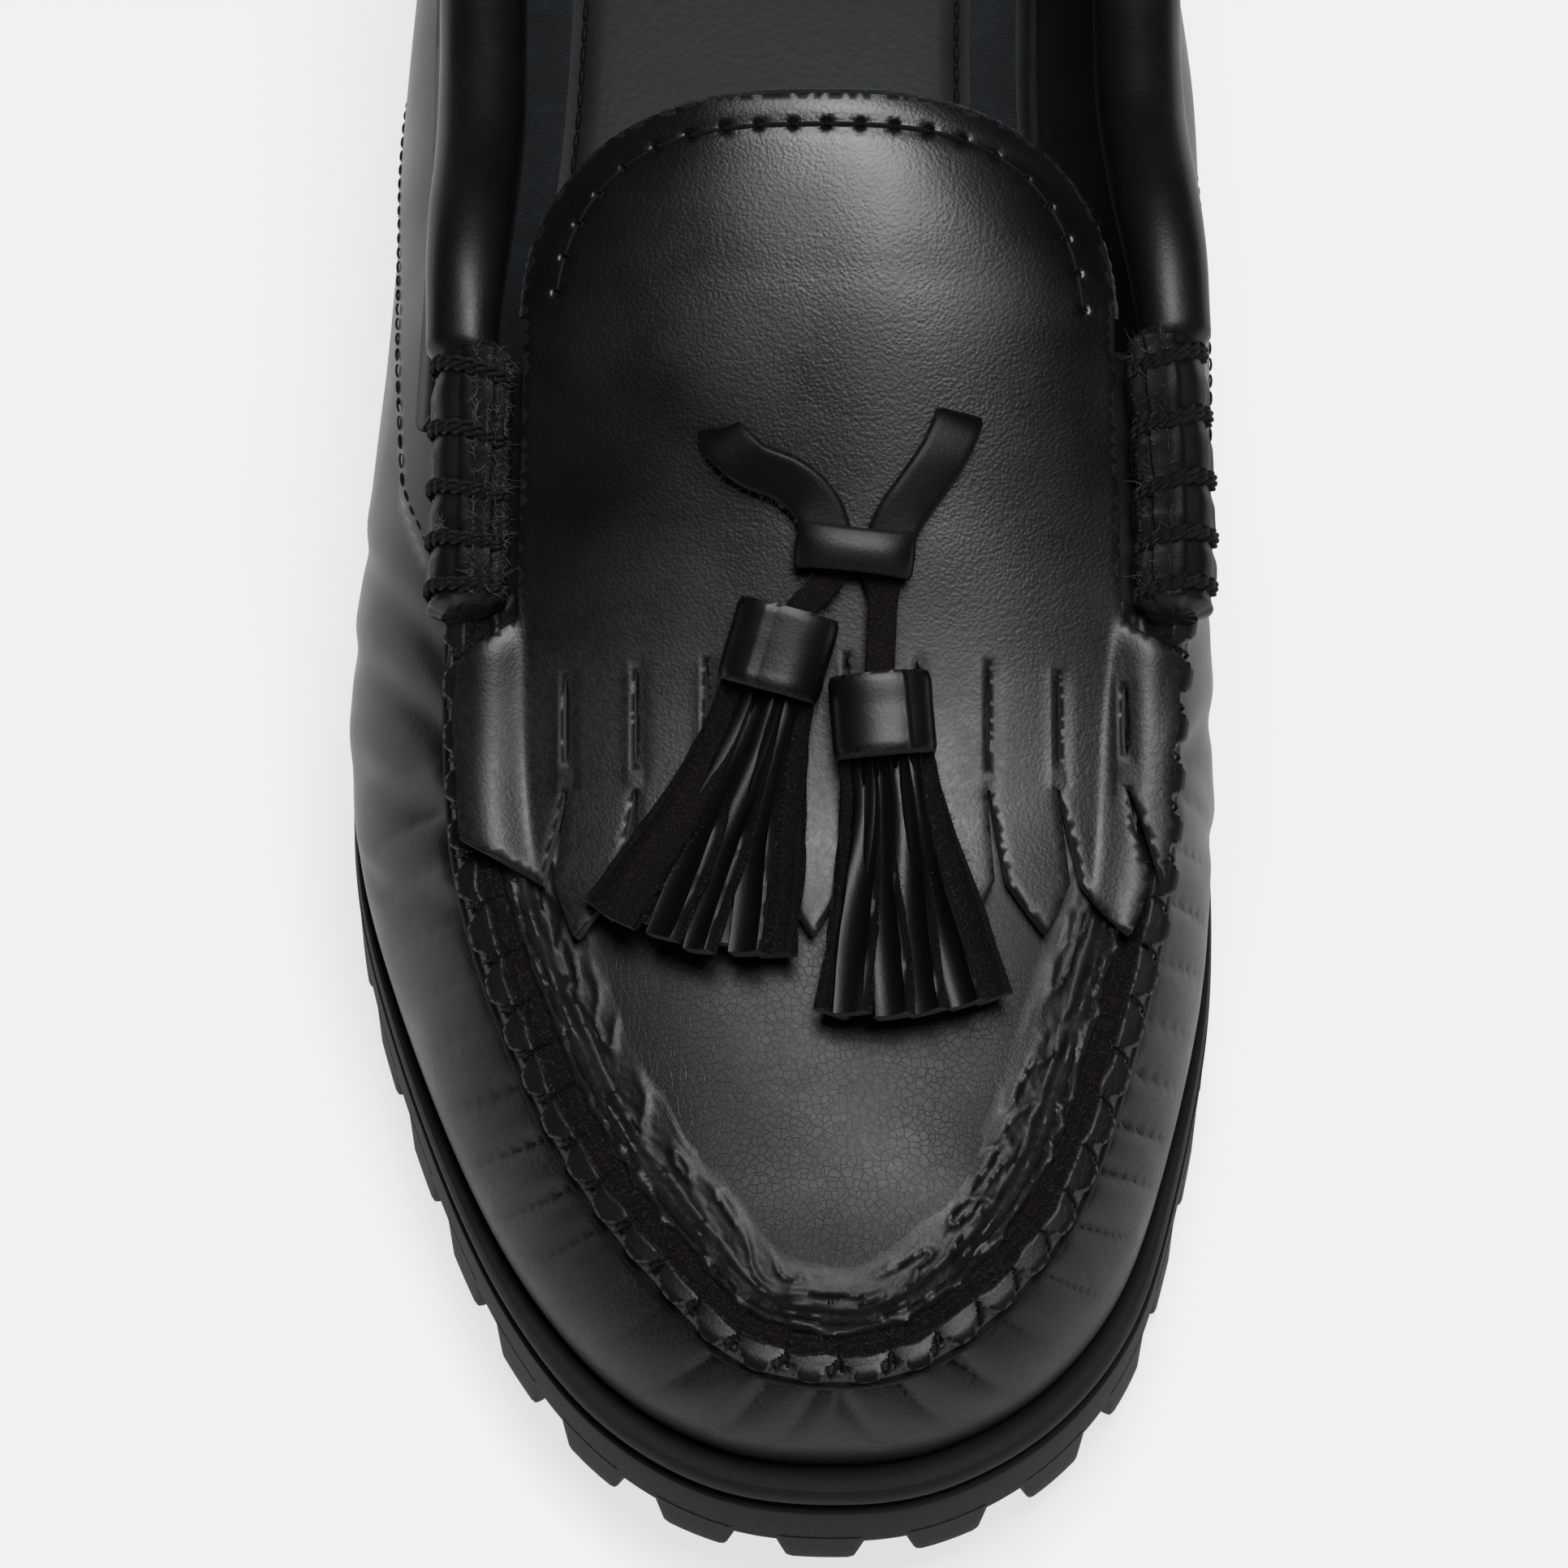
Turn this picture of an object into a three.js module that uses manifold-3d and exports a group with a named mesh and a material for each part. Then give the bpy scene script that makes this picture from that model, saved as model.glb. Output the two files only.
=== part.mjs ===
// Kiltie loafer for the right foot. Millimetres, +Z up, toe towards -Y, inner side of the foot towards +X.
import * as THREE from 'three';
import { mergeVertices } from 'three/addons/utils/BufferGeometryUtils.js';
import Module from 'manifold-3d';

const wasm = await Module();
wasm.setup();

// Driving dimensions of the last and the sole
const SOLE_LENGTH = 300;
const BALL_WIDTH = 104;
const HEEL_SEAT = 36.5;
const BACK_RISE = 51.5;
const THROAT_CROWN = 24;
const WELT = 4.2;
const PLATE = 12.5;

// Lugs of the outsole and heel
const LUG_PITCH = 16;
const NOTCH_WIDTH = 4.4;
const NOTCH_FLARE = 1.6;
const LUG_REACH = 12;
const CHANNEL_WIDTH = 4;
const CHANNEL_DEPTH = 4.5;
const HEEL_LUGS = 7.5;
// Shares of the sole's length from the heel: where the outsole's lugs stop, and the front of the heel
const WAIST_AT = 0.387;
const HEEL_BREAST_AT = 0.293;

// Upper, insole and collar
const WALL = 2;
const GAP = 0.3;
const FINEST = 0.01;
const INSOLE = 3.5;
const RIDGE_WIDTH = 8.5;
const RIDGE_HEIGHT = 1.8;
const COLLAR_WIDTH = 11;
const COLLAR_HEIGHT = 8.6;
const COLLAR_TAPER = 0.65;
const LACE_WIDTH = 4.2;
const LACE_THICKNESS = 1.4;
const LACE_DROP = 5;

// Beefrolls
const ROLL_WIDTH = 11;
const ROLL_HEIGHT = 6.5;
const ROLL_INSET = 2.5;
const ROLL_WRAPS = 5;
const WRAP_RELIEF = 0.9;

// Kiltie. Its rows lie these distances in front of the back of the throat.
const KILTIE = 1.8;
const KILTIE_CLEAR = 0.7;
const THROAT_AT = 0.49;
const THROAT_DEPTH = 22;
const TONGUE_INSET = 8.2;
const FLAP_CLEAR = 4;
const SLOT_START = 60.5;
const SLOT_LENGTH = 13;
const CUT_START = 76;
const FLAP_EDGE = 79;
const SHOULDER = 84;
const TAB_TIP = 92.5;
const SLOTS = 9;
const SLOT_WIDTH = 1.3;
const CUT_BOW = 2;
const TAB_FAN = 0.1;
// How far inside the rims the flaps end, and the outermost cuts on each side lie
const FLAP_INSET = 1.5;
const CUTS_LATERAL = 13.6;
const CUTS_MEDIAL = 5.7;

// Tassel
const THONG_WIDTH = 6.5;
const THONG_THICKNESS = 2;
const STRAND_WIDTH = 5;
const RING_LENGTH = 14.2;
const RING_WIDTH = 5.5;
const RING_HEIGHT = 5;
const CAP_LENGTH = 9.6;
const CAP_WIDTH = 12.4;
const CAP_HEIGHT = 7.5;
const STRIPS = 6;
const STRIP_WIDTH = 3.5;
const STRIP_THICKNESS = 3.4;
const STRIP_LIFT = 1;
const FRINGE_LENGTH = 31;
const FRINGE_FAN = 0.5;

const BLACK_LEATHER = { color: 0x161617, roughness: 0.42, metalness: 0 };
const WORN_LEATHER = { color: 0x1b1a1a, roughness: 0.6, metalness: 0 };
const LINING_LEATHER = { color: 0x202224, roughness: 0.7, metalness: 0 };
const BLACK_RUBBER = { color: 0x222325, roughness: 0.8, metalness: 0 };
const WAXED_THREAD = { color: 0x2a2a2b, roughness: 0.5, metalness: 0 };

// Sections of the last from the back of the heel to the tip of the toe. along is a share of the sole's
// length. lateral, medial, inset and belly are shares of the ball width: the half breadths of the edge, how
// far the rim lies inside that edge, and how far the side bulges. seat and tread are shares of the heel
// seat: the heights of the upper's edge and of the tread. rise is the rim's height above the seat as a share
// of the back's, crown the height of the middle over the two rims as a share of the throat's, and welt the
// sole's edge outside the upper as a share of the widest.
const SECTIONS = [
  { along: 0.013, lateral: 0, medial: 0, seat: 1, tread: 0, welt: 0.95, rise: 1, crown: 1,
    insets: [0.043, 0.043], bellies: [0.029, 0.029] },
  { along: 0.030, lateral: 0.188, medial: 0.180, seat: 0.995, tread: 0, welt: 0.9, rise: 0.994, crown: 1,
    insets: [0.043, 0.038], bellies: [0.034, 0.034] },
  { along: 0.065, lateral: 0.298, medial: 0.300, seat: 0.986, tread: 0, welt: 0.7, rise: 0.951, crown: 1,
    insets: [0.038, 0.024], bellies: [0.038, 0.038] },
  { along: 0.125, lateral: 0.350, medial: 0.350, seat: 0.959, tread: 0, welt: 0.5, rise: 0.874, crown: 1,
    insets: [0.029, 0.005], bellies: [0.048, 0.048] },
  { along: 0.250, lateral: 0.357, medial: 0.335, seat: 0.890, tread: 0.4, welt: 0.4, rise: 0.806, crown: 1.2,
    insets: [0.005, -0.058], bellies: [0.067, 0.067] },
  { along: 0.370, lateral: 0.372, medial: 0.331, seat: 0.795, tread: 0.33, welt: 0.38, rise: 0.825, crown: 1.2,
    insets: [0.014, -0.087], bellies: [0.083, 0.1] },
  { along: 0.460, lateral: 0.410, medial: 0.365, seat: 0.712, tread: 0.24, welt: 0.36, rise: 0.893, crown: 1,
    insets: [0.054, -0.058], bellies: [0.083, 0.1] },
  { along: 0.550, lateral: 0.462, medial: 0.435, seat: 0.644, tread: 0.096, welt: 0.34, rise: 1, crown: 0.44,
    insets: [0.092, -0.015], bellies: [0.064, 0.063] },
  { along: 0.640, lateral: 0.500, medial: 0.482, seat: 0.589, tread: 0, welt: 0.3, rise: 0.812, crown: 0.33,
    insets: [0.121, 0.015], bellies: [0.058, 0.03] },
  { along: 0.710, lateral: 0.497, medial: 0.497, seat: 0.570, tread: 0, welt: 0.3, rise: 0.656, crown: 0.29,
    insets: [0.115, 0.044], bellies: [0.048, 0.025] },
  { along: 0.780, lateral: 0.447, medial: 0.483, seat: 0.567, tread: 0, welt: 0.4, rise: 0.534, crown: 0.28,
    insets: [0.087, 0.048], bellies: [0.036, 0.026] },
  { along: 0.860, lateral: 0.362, medial: 0.432, seat: 0.589, tread: 0.016, welt: 0.55, rise: 0.433, crown: 0.27,
    insets: [0.082, 0.058], bellies: [0.034, 0.029] },
  { along: 0.915, lateral: 0.279, medial: 0.377, seat: 0.616, tread: 0.068, welt: 0.7, rise: 0.386, crown: 0.2,
    insets: [0.082, 0.063], bellies: [0.034, 0.029] },
  { along: 0.955, lateral: 0.183, medial: 0.288, seat: 0.644, tread: 0.123, welt: 0.85, rise: 0.353, crown: 0.08,
    insets: [0.077, 0.058], bellies: [0.031, 0.027] },
  { along: 0.979, lateral: 0.067, medial: 0.173, seat: 0.662, tread: 0.164, welt: 0.97, rise: 0.328, crown: 0.01,
    insets: [0.048, 0.043], bellies: [0.023, 0.021] },
  { along: 0.9855, lateral: -0.058, medial: 0.058, seat: 0.671, tread: 0.178, welt: 1, rise: 0.32, crown: 0,
    insets: [0.037, 0.037], bellies: [0.018, 0.018] },
];
const TOE = SECTIONS.length - 1;
const ROUND = 2 * TOE;
const STEPS = 3;
const STATIONS = ROUND * STEPS;

// Side of the sole from the upper's edge down: out is a share of the welt, drop a share of the plate.
const SOLE_SIDE = [
  { out: 0.15, drop: 0 },
  { out: 0.5, drop: -0.035 },
  { out: 0.93, drop: 0.04 },
  { out: 1, drop: 0.13 },
  { out: 0.62, drop: 0.26 },
  { out: 1.08, drop: 0.32 },
  { out: 0.85, drop: 0.39 },
  { out: 1, drop: 1 },
];

// Where the trims of the top line start and end, counted in sections from the heel; minus is the inner side.
const RIM_RUNS = {
  collar: [7.17, -7.17],
  collar_lace_lateral: [7.4, 4.3],
  collar_lace_heel: [2.7, -2.7],
  collar_lace_medial: [-4.3, -7.4],
  beefroll_lateral: [7.2, 8.42],
  beefroll_medial: [-7.2, -8.42],
};

const alongY = (share) => SOLE_LENGTH / 2 - share * SOLE_LENGTH;
const mix = (a, b, t) => a + (b - a) * t;
const smooth = (t) => t * t * (3 - 2 * t);

// One closed smooth curve through all sections: lateral side forwards, then medial side back.
function ringCurve(value) {
  const points = [];
  for (let k = 0; k < ROUND; k++) {
    const lateral = k <= TOE;
    const section = SECTIONS[lateral ? k : ROUND - k];
    points.push(new THREE.Vector3(...value(section, lateral)));
  }
  return new THREE.CatmullRomCurve3(points, true, 'catmullrom', 0.5);
}

const edgeCurve = ringCurve((s, lateral) => [
  BALL_WIDTH * (lateral ? -s.lateral : s.medial),
  alongY(s.along),
  HEEL_SEAT * s.seat,
]);
const sideCurve = ringCurve((s, lateral) => [
  BALL_WIDTH * s.insets[lateral ? 0 : 1],
  BALL_WIDTH * s.bellies[lateral ? 0 : 1],
  BACK_RISE * s.rise,
]);
const soleCurve = ringCurve((s) => [HEEL_SEAT * s.tread, WELT * s.welt, THROAT_CROWN * s.crown]);

// Everything about the last at one place round its edge; at runs from 0 at the heel over TOE to ROUND.
function station(at) {
  const share = (((at / ROUND) % 1) + 1) % 1;
  const edge = edgeCurve.getPoint(share);
  const side = sideCurve.getPoint(share);
  const sole = soleCurve.getPoint(share);
  const before = edgeCurve.getPoint((share + 0.999) % 1);
  const after = edgeCurve.getPoint((share + 0.001) % 1);
  const along = new THREE.Vector2(after.x - before.x, after.y - before.y).normalize();
  return {
    x: edge.x,
    y: edge.y,
    out: new THREE.Vector3(along.y, -along.x, 0),
    seat: edge.z,
    inset: side.x,
    belly: side.y,
    rise: side.z,
    tread: Math.max(0, sole.x),
    welt: sole.y,
    crown: sole.z,
  };
}

const stations = Array.from({ length: STATIONS }, (_, i) => station(i / STEPS));

function offEdge(s, out, z) {
  return new THREE.Vector3(s.x + s.out.x * out, s.y + s.out.y * out, z);
}

// A point of the upper's side, v from 0 at the sole to 1 at the rim.
function sidePoint(s, v) {
  const bulge = 4 * s.belly * v * (1 - v);
  return offEdge(s, bulge - s.inset * v, s.seat + s.rise * v);
}

// The rims of the two sides as lists that run from the toe back, for the surface between them.
const rims = {
  lateral: stations.slice(0, TOE * STEPS + 1).reverse().map((s) => ({ ...s, rim: sidePoint(s, 1) })),
  medial: [...stations.slice(TOE * STEPS), stations[0]].map((s) => ({ ...s, rim: sidePoint(s, 1) })),
};

function rimAt(list, y) {
  let k = 1;
  while (k < list.length - 1 && list[k].rim.y < y) k++;
  const a = list[k - 1];
  const b = list[k];
  const t = Math.min(1, Math.max(0, (y - a.rim.y) / (b.rim.y - a.rim.y)));
  return { x: mix(a.rim.x, b.rim.x, t), z: mix(a.rim.z, b.rim.z, t), crown: mix(a.crown, b.crown, t) };
}

// Height of the plug and tongue over a point of the plan: an arch between the two rims.
function instep(x, y) {
  const l = rimAt(rims.lateral, y);
  const m = rimAt(rims.medial, y);
  const half = Math.max(1, (m.x - l.x) / 2);
  const across = Math.min(1, Math.abs((x - (l.x + m.x) / 2) / half));
  const t = Math.min(1, Math.max(0, (x - l.x) / (2 * half)));
  return mix(l.z, m.z, t) + l.crown * (1 - across ** 2.4);
}

function instepNormal(x, y) {
  const step = 0.5;
  const dx = (instep(x + step, y) - instep(x - step, y)) / (2 * step);
  const dy = (instep(x, y + step) - instep(x, y - step)) / (2 * step);
  return new THREE.Vector3(-dx, -dy, 1).normalize();
}

const THROAT_BACK = alongY(THROAT_AT);
const throatSide = {
  l: rimAt(rims.lateral, THROAT_BACK - THROAT_DEPTH).x + TONGUE_INSET,
  m: rimAt(rims.medial, THROAT_BACK - THROAT_DEPTH).x - TONGUE_INSET,
};
const throatMiddle = (throatSide.l + throatSide.m) / 2;
const throatHalf = (throatSide.m - throatSide.l) / 2;

// The flaps of the kiltie start in front of the beefrolls.
const rollEnds = [RIM_RUNS.beefroll_lateral[1], RIM_RUNS.beefroll_medial[1]].map((at) => station(at).y);
const flapStart = THROAT_BACK - Math.min(...rollEnds) + FLAP_CLEAR;

// A point that stands clear of the instep by a height measured square to it.
function overInstep(x, y, height) {
  return new THREE.Vector3(x, y, instep(x, y)).addScaledVector(instepNormal(x, y), height);
}

// Edge of the tongue in plan: furthest back in the middle, and down to the collar's ends at its sides.
function throatY(x) {
  const across = Math.min(1, Math.abs((x - throatMiddle) / throatHalf));
  return THROAT_BACK - THROAT_DEPTH * (1 - Math.sqrt(1 - across ** 4));
}

// Closed geometry from points and faces, with its faces turned outwards.
function closedGeometry(points, faces) {
  const position = new Float32Array(points.flatMap((p) => [p.x, p.y, p.z]));
  let volume = 0;
  for (const [a, b, c] of faces) {
    volume += points[a].dot(new THREE.Vector3().crossVectors(points[b], points[c])) / 6;
  }
  const index = faces.flatMap(([a, b, c]) => (volume > 0 ? [a, b, c] : [a, c, b]));
  const geometry = new THREE.BufferGeometry();
  geometry.setAttribute('position', new THREE.BufferAttribute(position, 3));
  geometry.setIndex(index);
  return geometry;
}

// Sections of equal size joined one to the next. Ends are closed across the pairs of points that mirror each
// other in a section, or the last section joins the first.
function loft(sections, endless = false) {
  const n = sections[0].length;
  const faces = [];
  const spans = endless ? sections.length : sections.length - 1;
  for (let j = 0; j < spans; j++) {
    for (let i = 0; i < n; i++) {
      const a = j * n + i;
      const b = j * n + ((i + 1) % n);
      const c = ((j + 1) % sections.length) * n + i;
      const d = ((j + 1) % sections.length) * n + ((i + 1) % n);
      faces.push([a, b, d], [a, d, c]);
    }
  }
  if (!endless) {
    const top = (sections.length - 1) * n;
    for (const [i, j, k] of pairedCap(n)) {
      faces.push([i, k, j], [top + i, top + j, top + k]);
    }
  }
  return closedGeometry(sections.flat(), faces);
}

// Faces across a section of an even number of points, between point i and point n - i.
function pairedCap(n) {
  const faces = [[0, 1, n - 1]];
  for (let i = 1; i < n / 2 - 1; i++) {
    faces.push([i, i + 1, n - i - 1], [i, n - i - 1, n - i]);
  }
  faces.push([n / 2 - 1, n / 2, n / 2 + 1]);
  return faces;
}

// A sheet given a thickness: each point moves out and in along its normal, and the open edges are closed.
function sheetSolid(points, faces, outer, inner) {
  const normals = points.map(() => new THREE.Vector3());
  for (const [a, b, c] of faces) {
    const ab = points[b].clone().sub(points[a]);
    const ac = points[c].clone().sub(points[a]);
    const area = ab.cross(ac);
    for (const k of [a, b, c]) normals[k].add(area);
  }
  const n = points.length;
  normals.forEach((normal) => normal.normalize());
  const moved = (by) => points.map((p, i) => p.clone().addScaledVector(normals[i], by(i)));
  const all = [...moved(outer), ...moved((i) => -inner(i))];
  const used = new Set(faces.flatMap(([a, b, c]) => [`${a},${b}`, `${b},${c}`, `${c},${a}`]));
  const rest = [];
  for (const key of used) {
    const [a, b] = key.split(',').map(Number);
    if (!used.has(`${b},${a}`)) rest.push([b, a, n + a], [b, n + a, n + b]);
  }
  const back = faces.map(([a, b, c]) => [n + a, n + c, n + b]);
  return closedGeometry(all, [...faces, ...back, ...rest]);
}

// Faces of a grid whose point (row, column) has the number that index gives.
function gridFaces(rows, columns, index) {
  const faces = [];
  for (let r = 0; r < rows - 1; r++) {
    for (let c = 0; c < columns - 1; c++) {
      faces.push([index(r, c), index(r, c + 1), index(r + 1, c + 1)]);
      faces.push([index(r, c), index(r + 1, c + 1), index(r + 1, c)]);
    }
  }
  return faces;
}

function toSolid(geometry) {
  const bare = geometry.clone();
  bare.deleteAttribute('normal');
  bare.deleteAttribute('uv');
  const merged = mergeVertices(bare, 1e-4);
  return new wasm.Manifold(new wasm.Mesh({
    numProp: 3,
    vertProperties: merged.attributes.position.array,
    triVerts: new Uint32Array(merged.index.array),
  }));
}

function toGeometry(solid) {
  const mesh = solid.simplify(FINEST).getMesh();
  const geometry = new THREE.BufferGeometry();
  geometry.setAttribute('position', new THREE.BufferAttribute(mesh.vertProperties, 3));
  geometry.setIndex(new THREE.BufferAttribute(mesh.triVerts, 1));
  return geometry;
}

function boxSolid(min, max) {
  const size = max.clone().sub(min);
  const box = new THREE.BoxGeometry(size.x, size.y, size.z);
  const middle = min.clone().add(max).multiplyScalar(0.5);
  box.translate(middle.x, middle.y, middle.z);
  return toSolid(box);
}

// The half of the space in front of, or behind, a plane across the shoe.
function slab(fromY, toY) {
  const low = new THREE.Vector3(-BALL_WIDTH, fromY, -HEEL_SEAT);
  return boxSolid(low, new THREE.Vector3(BALL_WIDTH, toY, 2 * HEEL_SEAT));
}

const group = new THREE.Group();

function addPart(name, geometry, finish) {
  const mesh = new THREE.Mesh(geometry, new THREE.MeshStandardMaterial(finish));
  mesh.name = name;
  group.add(mesh);
}

// Rubber sole: a plate with its bead, groove, line and band, and lugs below it.
function solePlate() {
  const edge = (out, drop) => stations.map((s) => offEdge(s, s.welt * out, s.seat - GAP - PLATE * drop));
  const rings = SOLE_SIDE.map((row) => edge(row.out, row.drop)).reverse();
  return toSolid(loft(rings));
}

// The band that lugs are cut from, up to a height over the plate's underside and down to what low gives.
function lugBand(top, low) {
  const upper = stations.map((s) => offEdge(s, s.welt * 0.96, s.seat - GAP - PLATE + top));
  const lower = stations.map((s) => offEdge(s, s.welt * 0.8, low(s)));
  return toSolid(loft([lower, upper]));
}

// Notches at an even pitch along the sole's edge, wider at the ground.
function notches(low) {
  const ring = stations.map((s) => offEdge(s, s.welt, 0));
  const curve = new THREE.CatmullRomCurve3(ring, true);
  const count = Math.round(curve.getLength() / LUG_PITCH);
  const reach = LUG_REACH + CHANNEL_WIDTH / 2;
  const cutters = [];
  for (let k = 0; k < count; k++) {
    const share = (k + 0.5) / count;
    const at = curve.getPointAt(share);
    const along = curve.getTangentAt(share);
    const s = nearestStation(at);
    const top = s.seat - GAP - PLATE + (low ? GAP : -GAP);
    const shape = new THREE.Shape([
      new THREE.Vector2(-NOTCH_WIDTH / 2 - NOTCH_FLARE, low ? -1 : s.tread - PLATE),
      new THREE.Vector2(NOTCH_WIDTH / 2 + NOTCH_FLARE, low ? -1 : s.tread - PLATE),
      new THREE.Vector2(NOTCH_WIDTH / 2, low ?? top),
      new THREE.Vector2(-NOTCH_WIDTH / 2, low ?? top),
    ]);
    const cutter = new THREE.ExtrudeGeometry(shape, { depth: reach + WELT, bevelEnabled: false });
    const out = new THREE.Vector3(along.y, -along.x, 0);
    const frame = new THREE.Matrix4().makeBasis(along, new THREE.Vector3(0, 0, 1), out);
    frame.setPosition(at.clone().addScaledVector(out, -reach));
    cutters.push(toSolid(cutter.applyMatrix4(frame)));
  }
  return wasm.Manifold.union(cutters);
}

function nearestStation(point) {
  let best = stations[0];
  for (const s of stations) {
    if (Math.hypot(s.x - point.x, s.y - point.y) < Math.hypot(best.x - point.x, best.y - point.y)) best = s;
  }
  return best;
}

// A channel that runs inside the row of edge lugs.
function channel(low) {
  const from = LUG_REACH;
  const to = LUG_REACH + CHANNEL_WIDTH;
  const sections = stations.map((s) => [
    offEdge(s, s.welt - from, low(s) - PLATE),
    offEdge(s, s.welt - from, low(s) + CHANNEL_DEPTH),
    offEdge(s, s.welt - to, low(s) + CHANNEL_DEPTH),
    offEdge(s, s.welt - to, low(s) - PLATE),
  ]);
  return toSolid(loft(sections, true));
}

function buildOutsole() {
  const band = lugBand(PLATE / 8, (s) => s.tread).intersect(slab(-SOLE_LENGTH, alongY(WAIST_AT)));
  const lugs = band.subtract(notches()).subtract(channel((s) => s.tread));
  addPart('outsole', toGeometry(solePlate().add(lugs)), BLACK_RUBBER);
}

function buildHeel() {
  const block = lugBand(-GAP, () => 0).intersect(slab(alongY(HEEL_BREAST_AT), SOLE_LENGTH));
  const lugs = block.subtract(notches(HEEL_LUGS)).subtract(channel(() => 0));
  addPart('heel', toGeometry(lugs), BLACK_RUBBER);
}

function buildInsole() {
  const inside = -WALL - 2 * GAP;
  const low = stations.map((s) => offEdge(s, inside, s.seat));
  const high = stations.map((s) => offEdge(s, inside, s.seat + INSOLE));
  addPart('insole', toGeometry(toSolid(loft([low, high]))), LINING_LEATHER);
}

// Rows of the side from the sole to the rim; the ridge of the apron seam goes on over the plug.
const SIDE_ROWS = [0, 0.15, 0.35, 0.6, 0.83, 1];
const RIDGE_ROWS = [0.08, 0.5, 0.92, 1];
const PLUG_COLUMNS = 9;
const THROAT_SECTION = 7.2;
const RIDGE_SECTION = 8.5;
const BOW_ROWS = 9;
const throatStation = Math.round(THROAT_SECTION * STEPS);

// The upper: both sides as one ring, the ridge over the front of its rim, and the plug between.
function buildUpper() {
  const points = [];
  const raised = [];
  const add = (point, height) => {
    points.push(point);
    raised.push(height);
    return points.length - 1;
  };
  const side = SIDE_ROWS.map((v) => stations.map((s) => add(sidePoint(s, v), 0)));
  const faces = gridFaces(SIDE_ROWS.length, STATIONS + 1, (r, c) => side[r][c % STATIONS]);

  const front = [];
  for (let i = throatStation; i <= STATIONS - throatStation; i++) front.push(i);
  const ridge = [front.map((i) => side[SIDE_ROWS.length - 1][i])];
  for (const share of RIDGE_ROWS) {
    ridge.push(front.map((i) => {
      const s = stations[i];
      const near = Math.min(i, STATIONS - i);
      const seam = near >= RIDGE_SECTION * STEPS && share < 1;
      const p = offEdge(s, -s.inset - RIDGE_WIDTH * share, 0);
      const y = p.y + throatBow(near - throatStation) * (throatY(p.x) - THROAT_BACK + THROAT_DEPTH);
      return add(new THREE.Vector3(p.x, y, instep(p.x, y)), seam ? RIDGE_HEIGHT : 0);
    }));
  }
  faces.push(...gridFaces(ridge.length, front.length, (r, c) => ridge[r][c]));

  const foot = ridge[ridge.length - 1];
  const half = (foot.length - 1) / 2;
  let behind = null;
  for (let k = 0; k < half; k++) {
    const a = footPoint(throatStation + k);
    const b = footPoint(STATIONS - throatStation - k);
    const row = [foot[k]];
    for (let c = 1; c < PLUG_COLUMNS; c++) {
      const t = c / PLUG_COLUMNS;
      const x = mix(a.x, b.x, t);
      const y = mix(a.y, b.y, t) + throatBow(k) * (throatY(x) - THROAT_BACK + THROAT_DEPTH);
      row.push(add(new THREE.Vector3(x, y, instep(x, y)), 0));
    }
    row.push(foot[foot.length - 1 - k]);
    if (behind) {
      const rows = [row, behind];
      faces.push(...gridFaces(2, PLUG_COLUMNS + 1, (r, c) => rows[r][c]));
    }
    behind = row;
  }
  const apex = foot[half];
  for (let c = 0; c < PLUG_COLUMNS; c++) faces.push([apex, behind[c + 1], behind[c]]);
  const oriented = orient(faces);
  addPart('upper', sheetSolid(points, oriented, (i) => raised[i], () => WALL), BLACK_LEATHER);
}

// Where the plug starts inside the ridge, in plan.
function footPoint(i) {
  const s = stations[i];
  return offEdge(s, -s.inset - RIDGE_WIDTH, 0);
}

// How much of the throat's curve a row of the plug takes, from 1 at the throat to 0 well in front of it.
function throatBow(rows) {
  return rows < BOW_ROWS ? (1 - rows / BOW_ROWS) ** 2 : 0;
}

// Turns faces so that neighbours agree, starting from the first.
function orient(faces) {
  const byEdge = new Map();
  const key = (a, b) => (a < b ? `${a},${b}` : `${b},${a}`);
  faces.forEach(([a, b, c], f) => {
    for (const k of [key(a, b), key(b, c), key(c, a)]) {
      if (!byEdge.has(k)) byEdge.set(k, []);
      byEdge.get(k).push(f);
    }
  });
  const done = faces.map(() => null);
  done[0] = faces[0];
  const queue = [0];
  while (queue.length) {
    const f = queue.pop();
    const [a, b, c] = done[f];
    for (const [p, q] of [[a, b], [b, c], [c, a]]) {
      for (const g of byEdge.get(key(p, q))) {
        if (done[g]) continue;
        const [u, v, w] = faces[g];
        const same = (u === p && v === q) || (v === p && w === q) || (w === p && u === q);
        done[g] = same ? [u, w, v] : [u, v, w];
        queue.push(g);
      }
    }
  }
  return done;
}

// Sections of the last at even places from one to another, for what runs along its edge.
function run(from, to, count) {
  return Array.from({ length: count + 1 }, (_, k) => station(mix(from, to, k / count)));
}

// An oval section of n points round a middle, with its axes.
function oval(middle, across, up, n = 10) {
  return Array.from({ length: n }, (_, k) => {
    const turn = (k / n) * 2 * Math.PI;
    return middle.clone().addScaledVector(across, Math.cos(turn)).addScaledVector(up, Math.sin(turn));
  });
}

const UP = new THREE.Vector3(0, 0, 1);

// The rolled collar sits on the rim from one beefroll round the heel to the other, and thins at its ends
// over a share of its length.
function buildCollar() {
  const thinning = 0.12;
  const count = 40;
  const sections = run(...RIM_RUNS.collar, count).map((s, k) => {
    const fromEnd = Math.min(k, count - k) / count;
    const full = mix(COLLAR_TAPER, 1, smooth(Math.min(1, fromEnd / thinning)));
    const high = (COLLAR_HEIGHT / 2) * full;
    const across = s.out.clone().multiplyScalar((COLLAR_WIDTH / 2) * full);
    const middle = sidePoint(s, 1).addScaledVector(UP, high + GAP);
    return oval(middle, across, UP.clone().multiplyScalar(high));
  });
  addPart('collar', loft(sections), BLACK_LEATHER);
}

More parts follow.
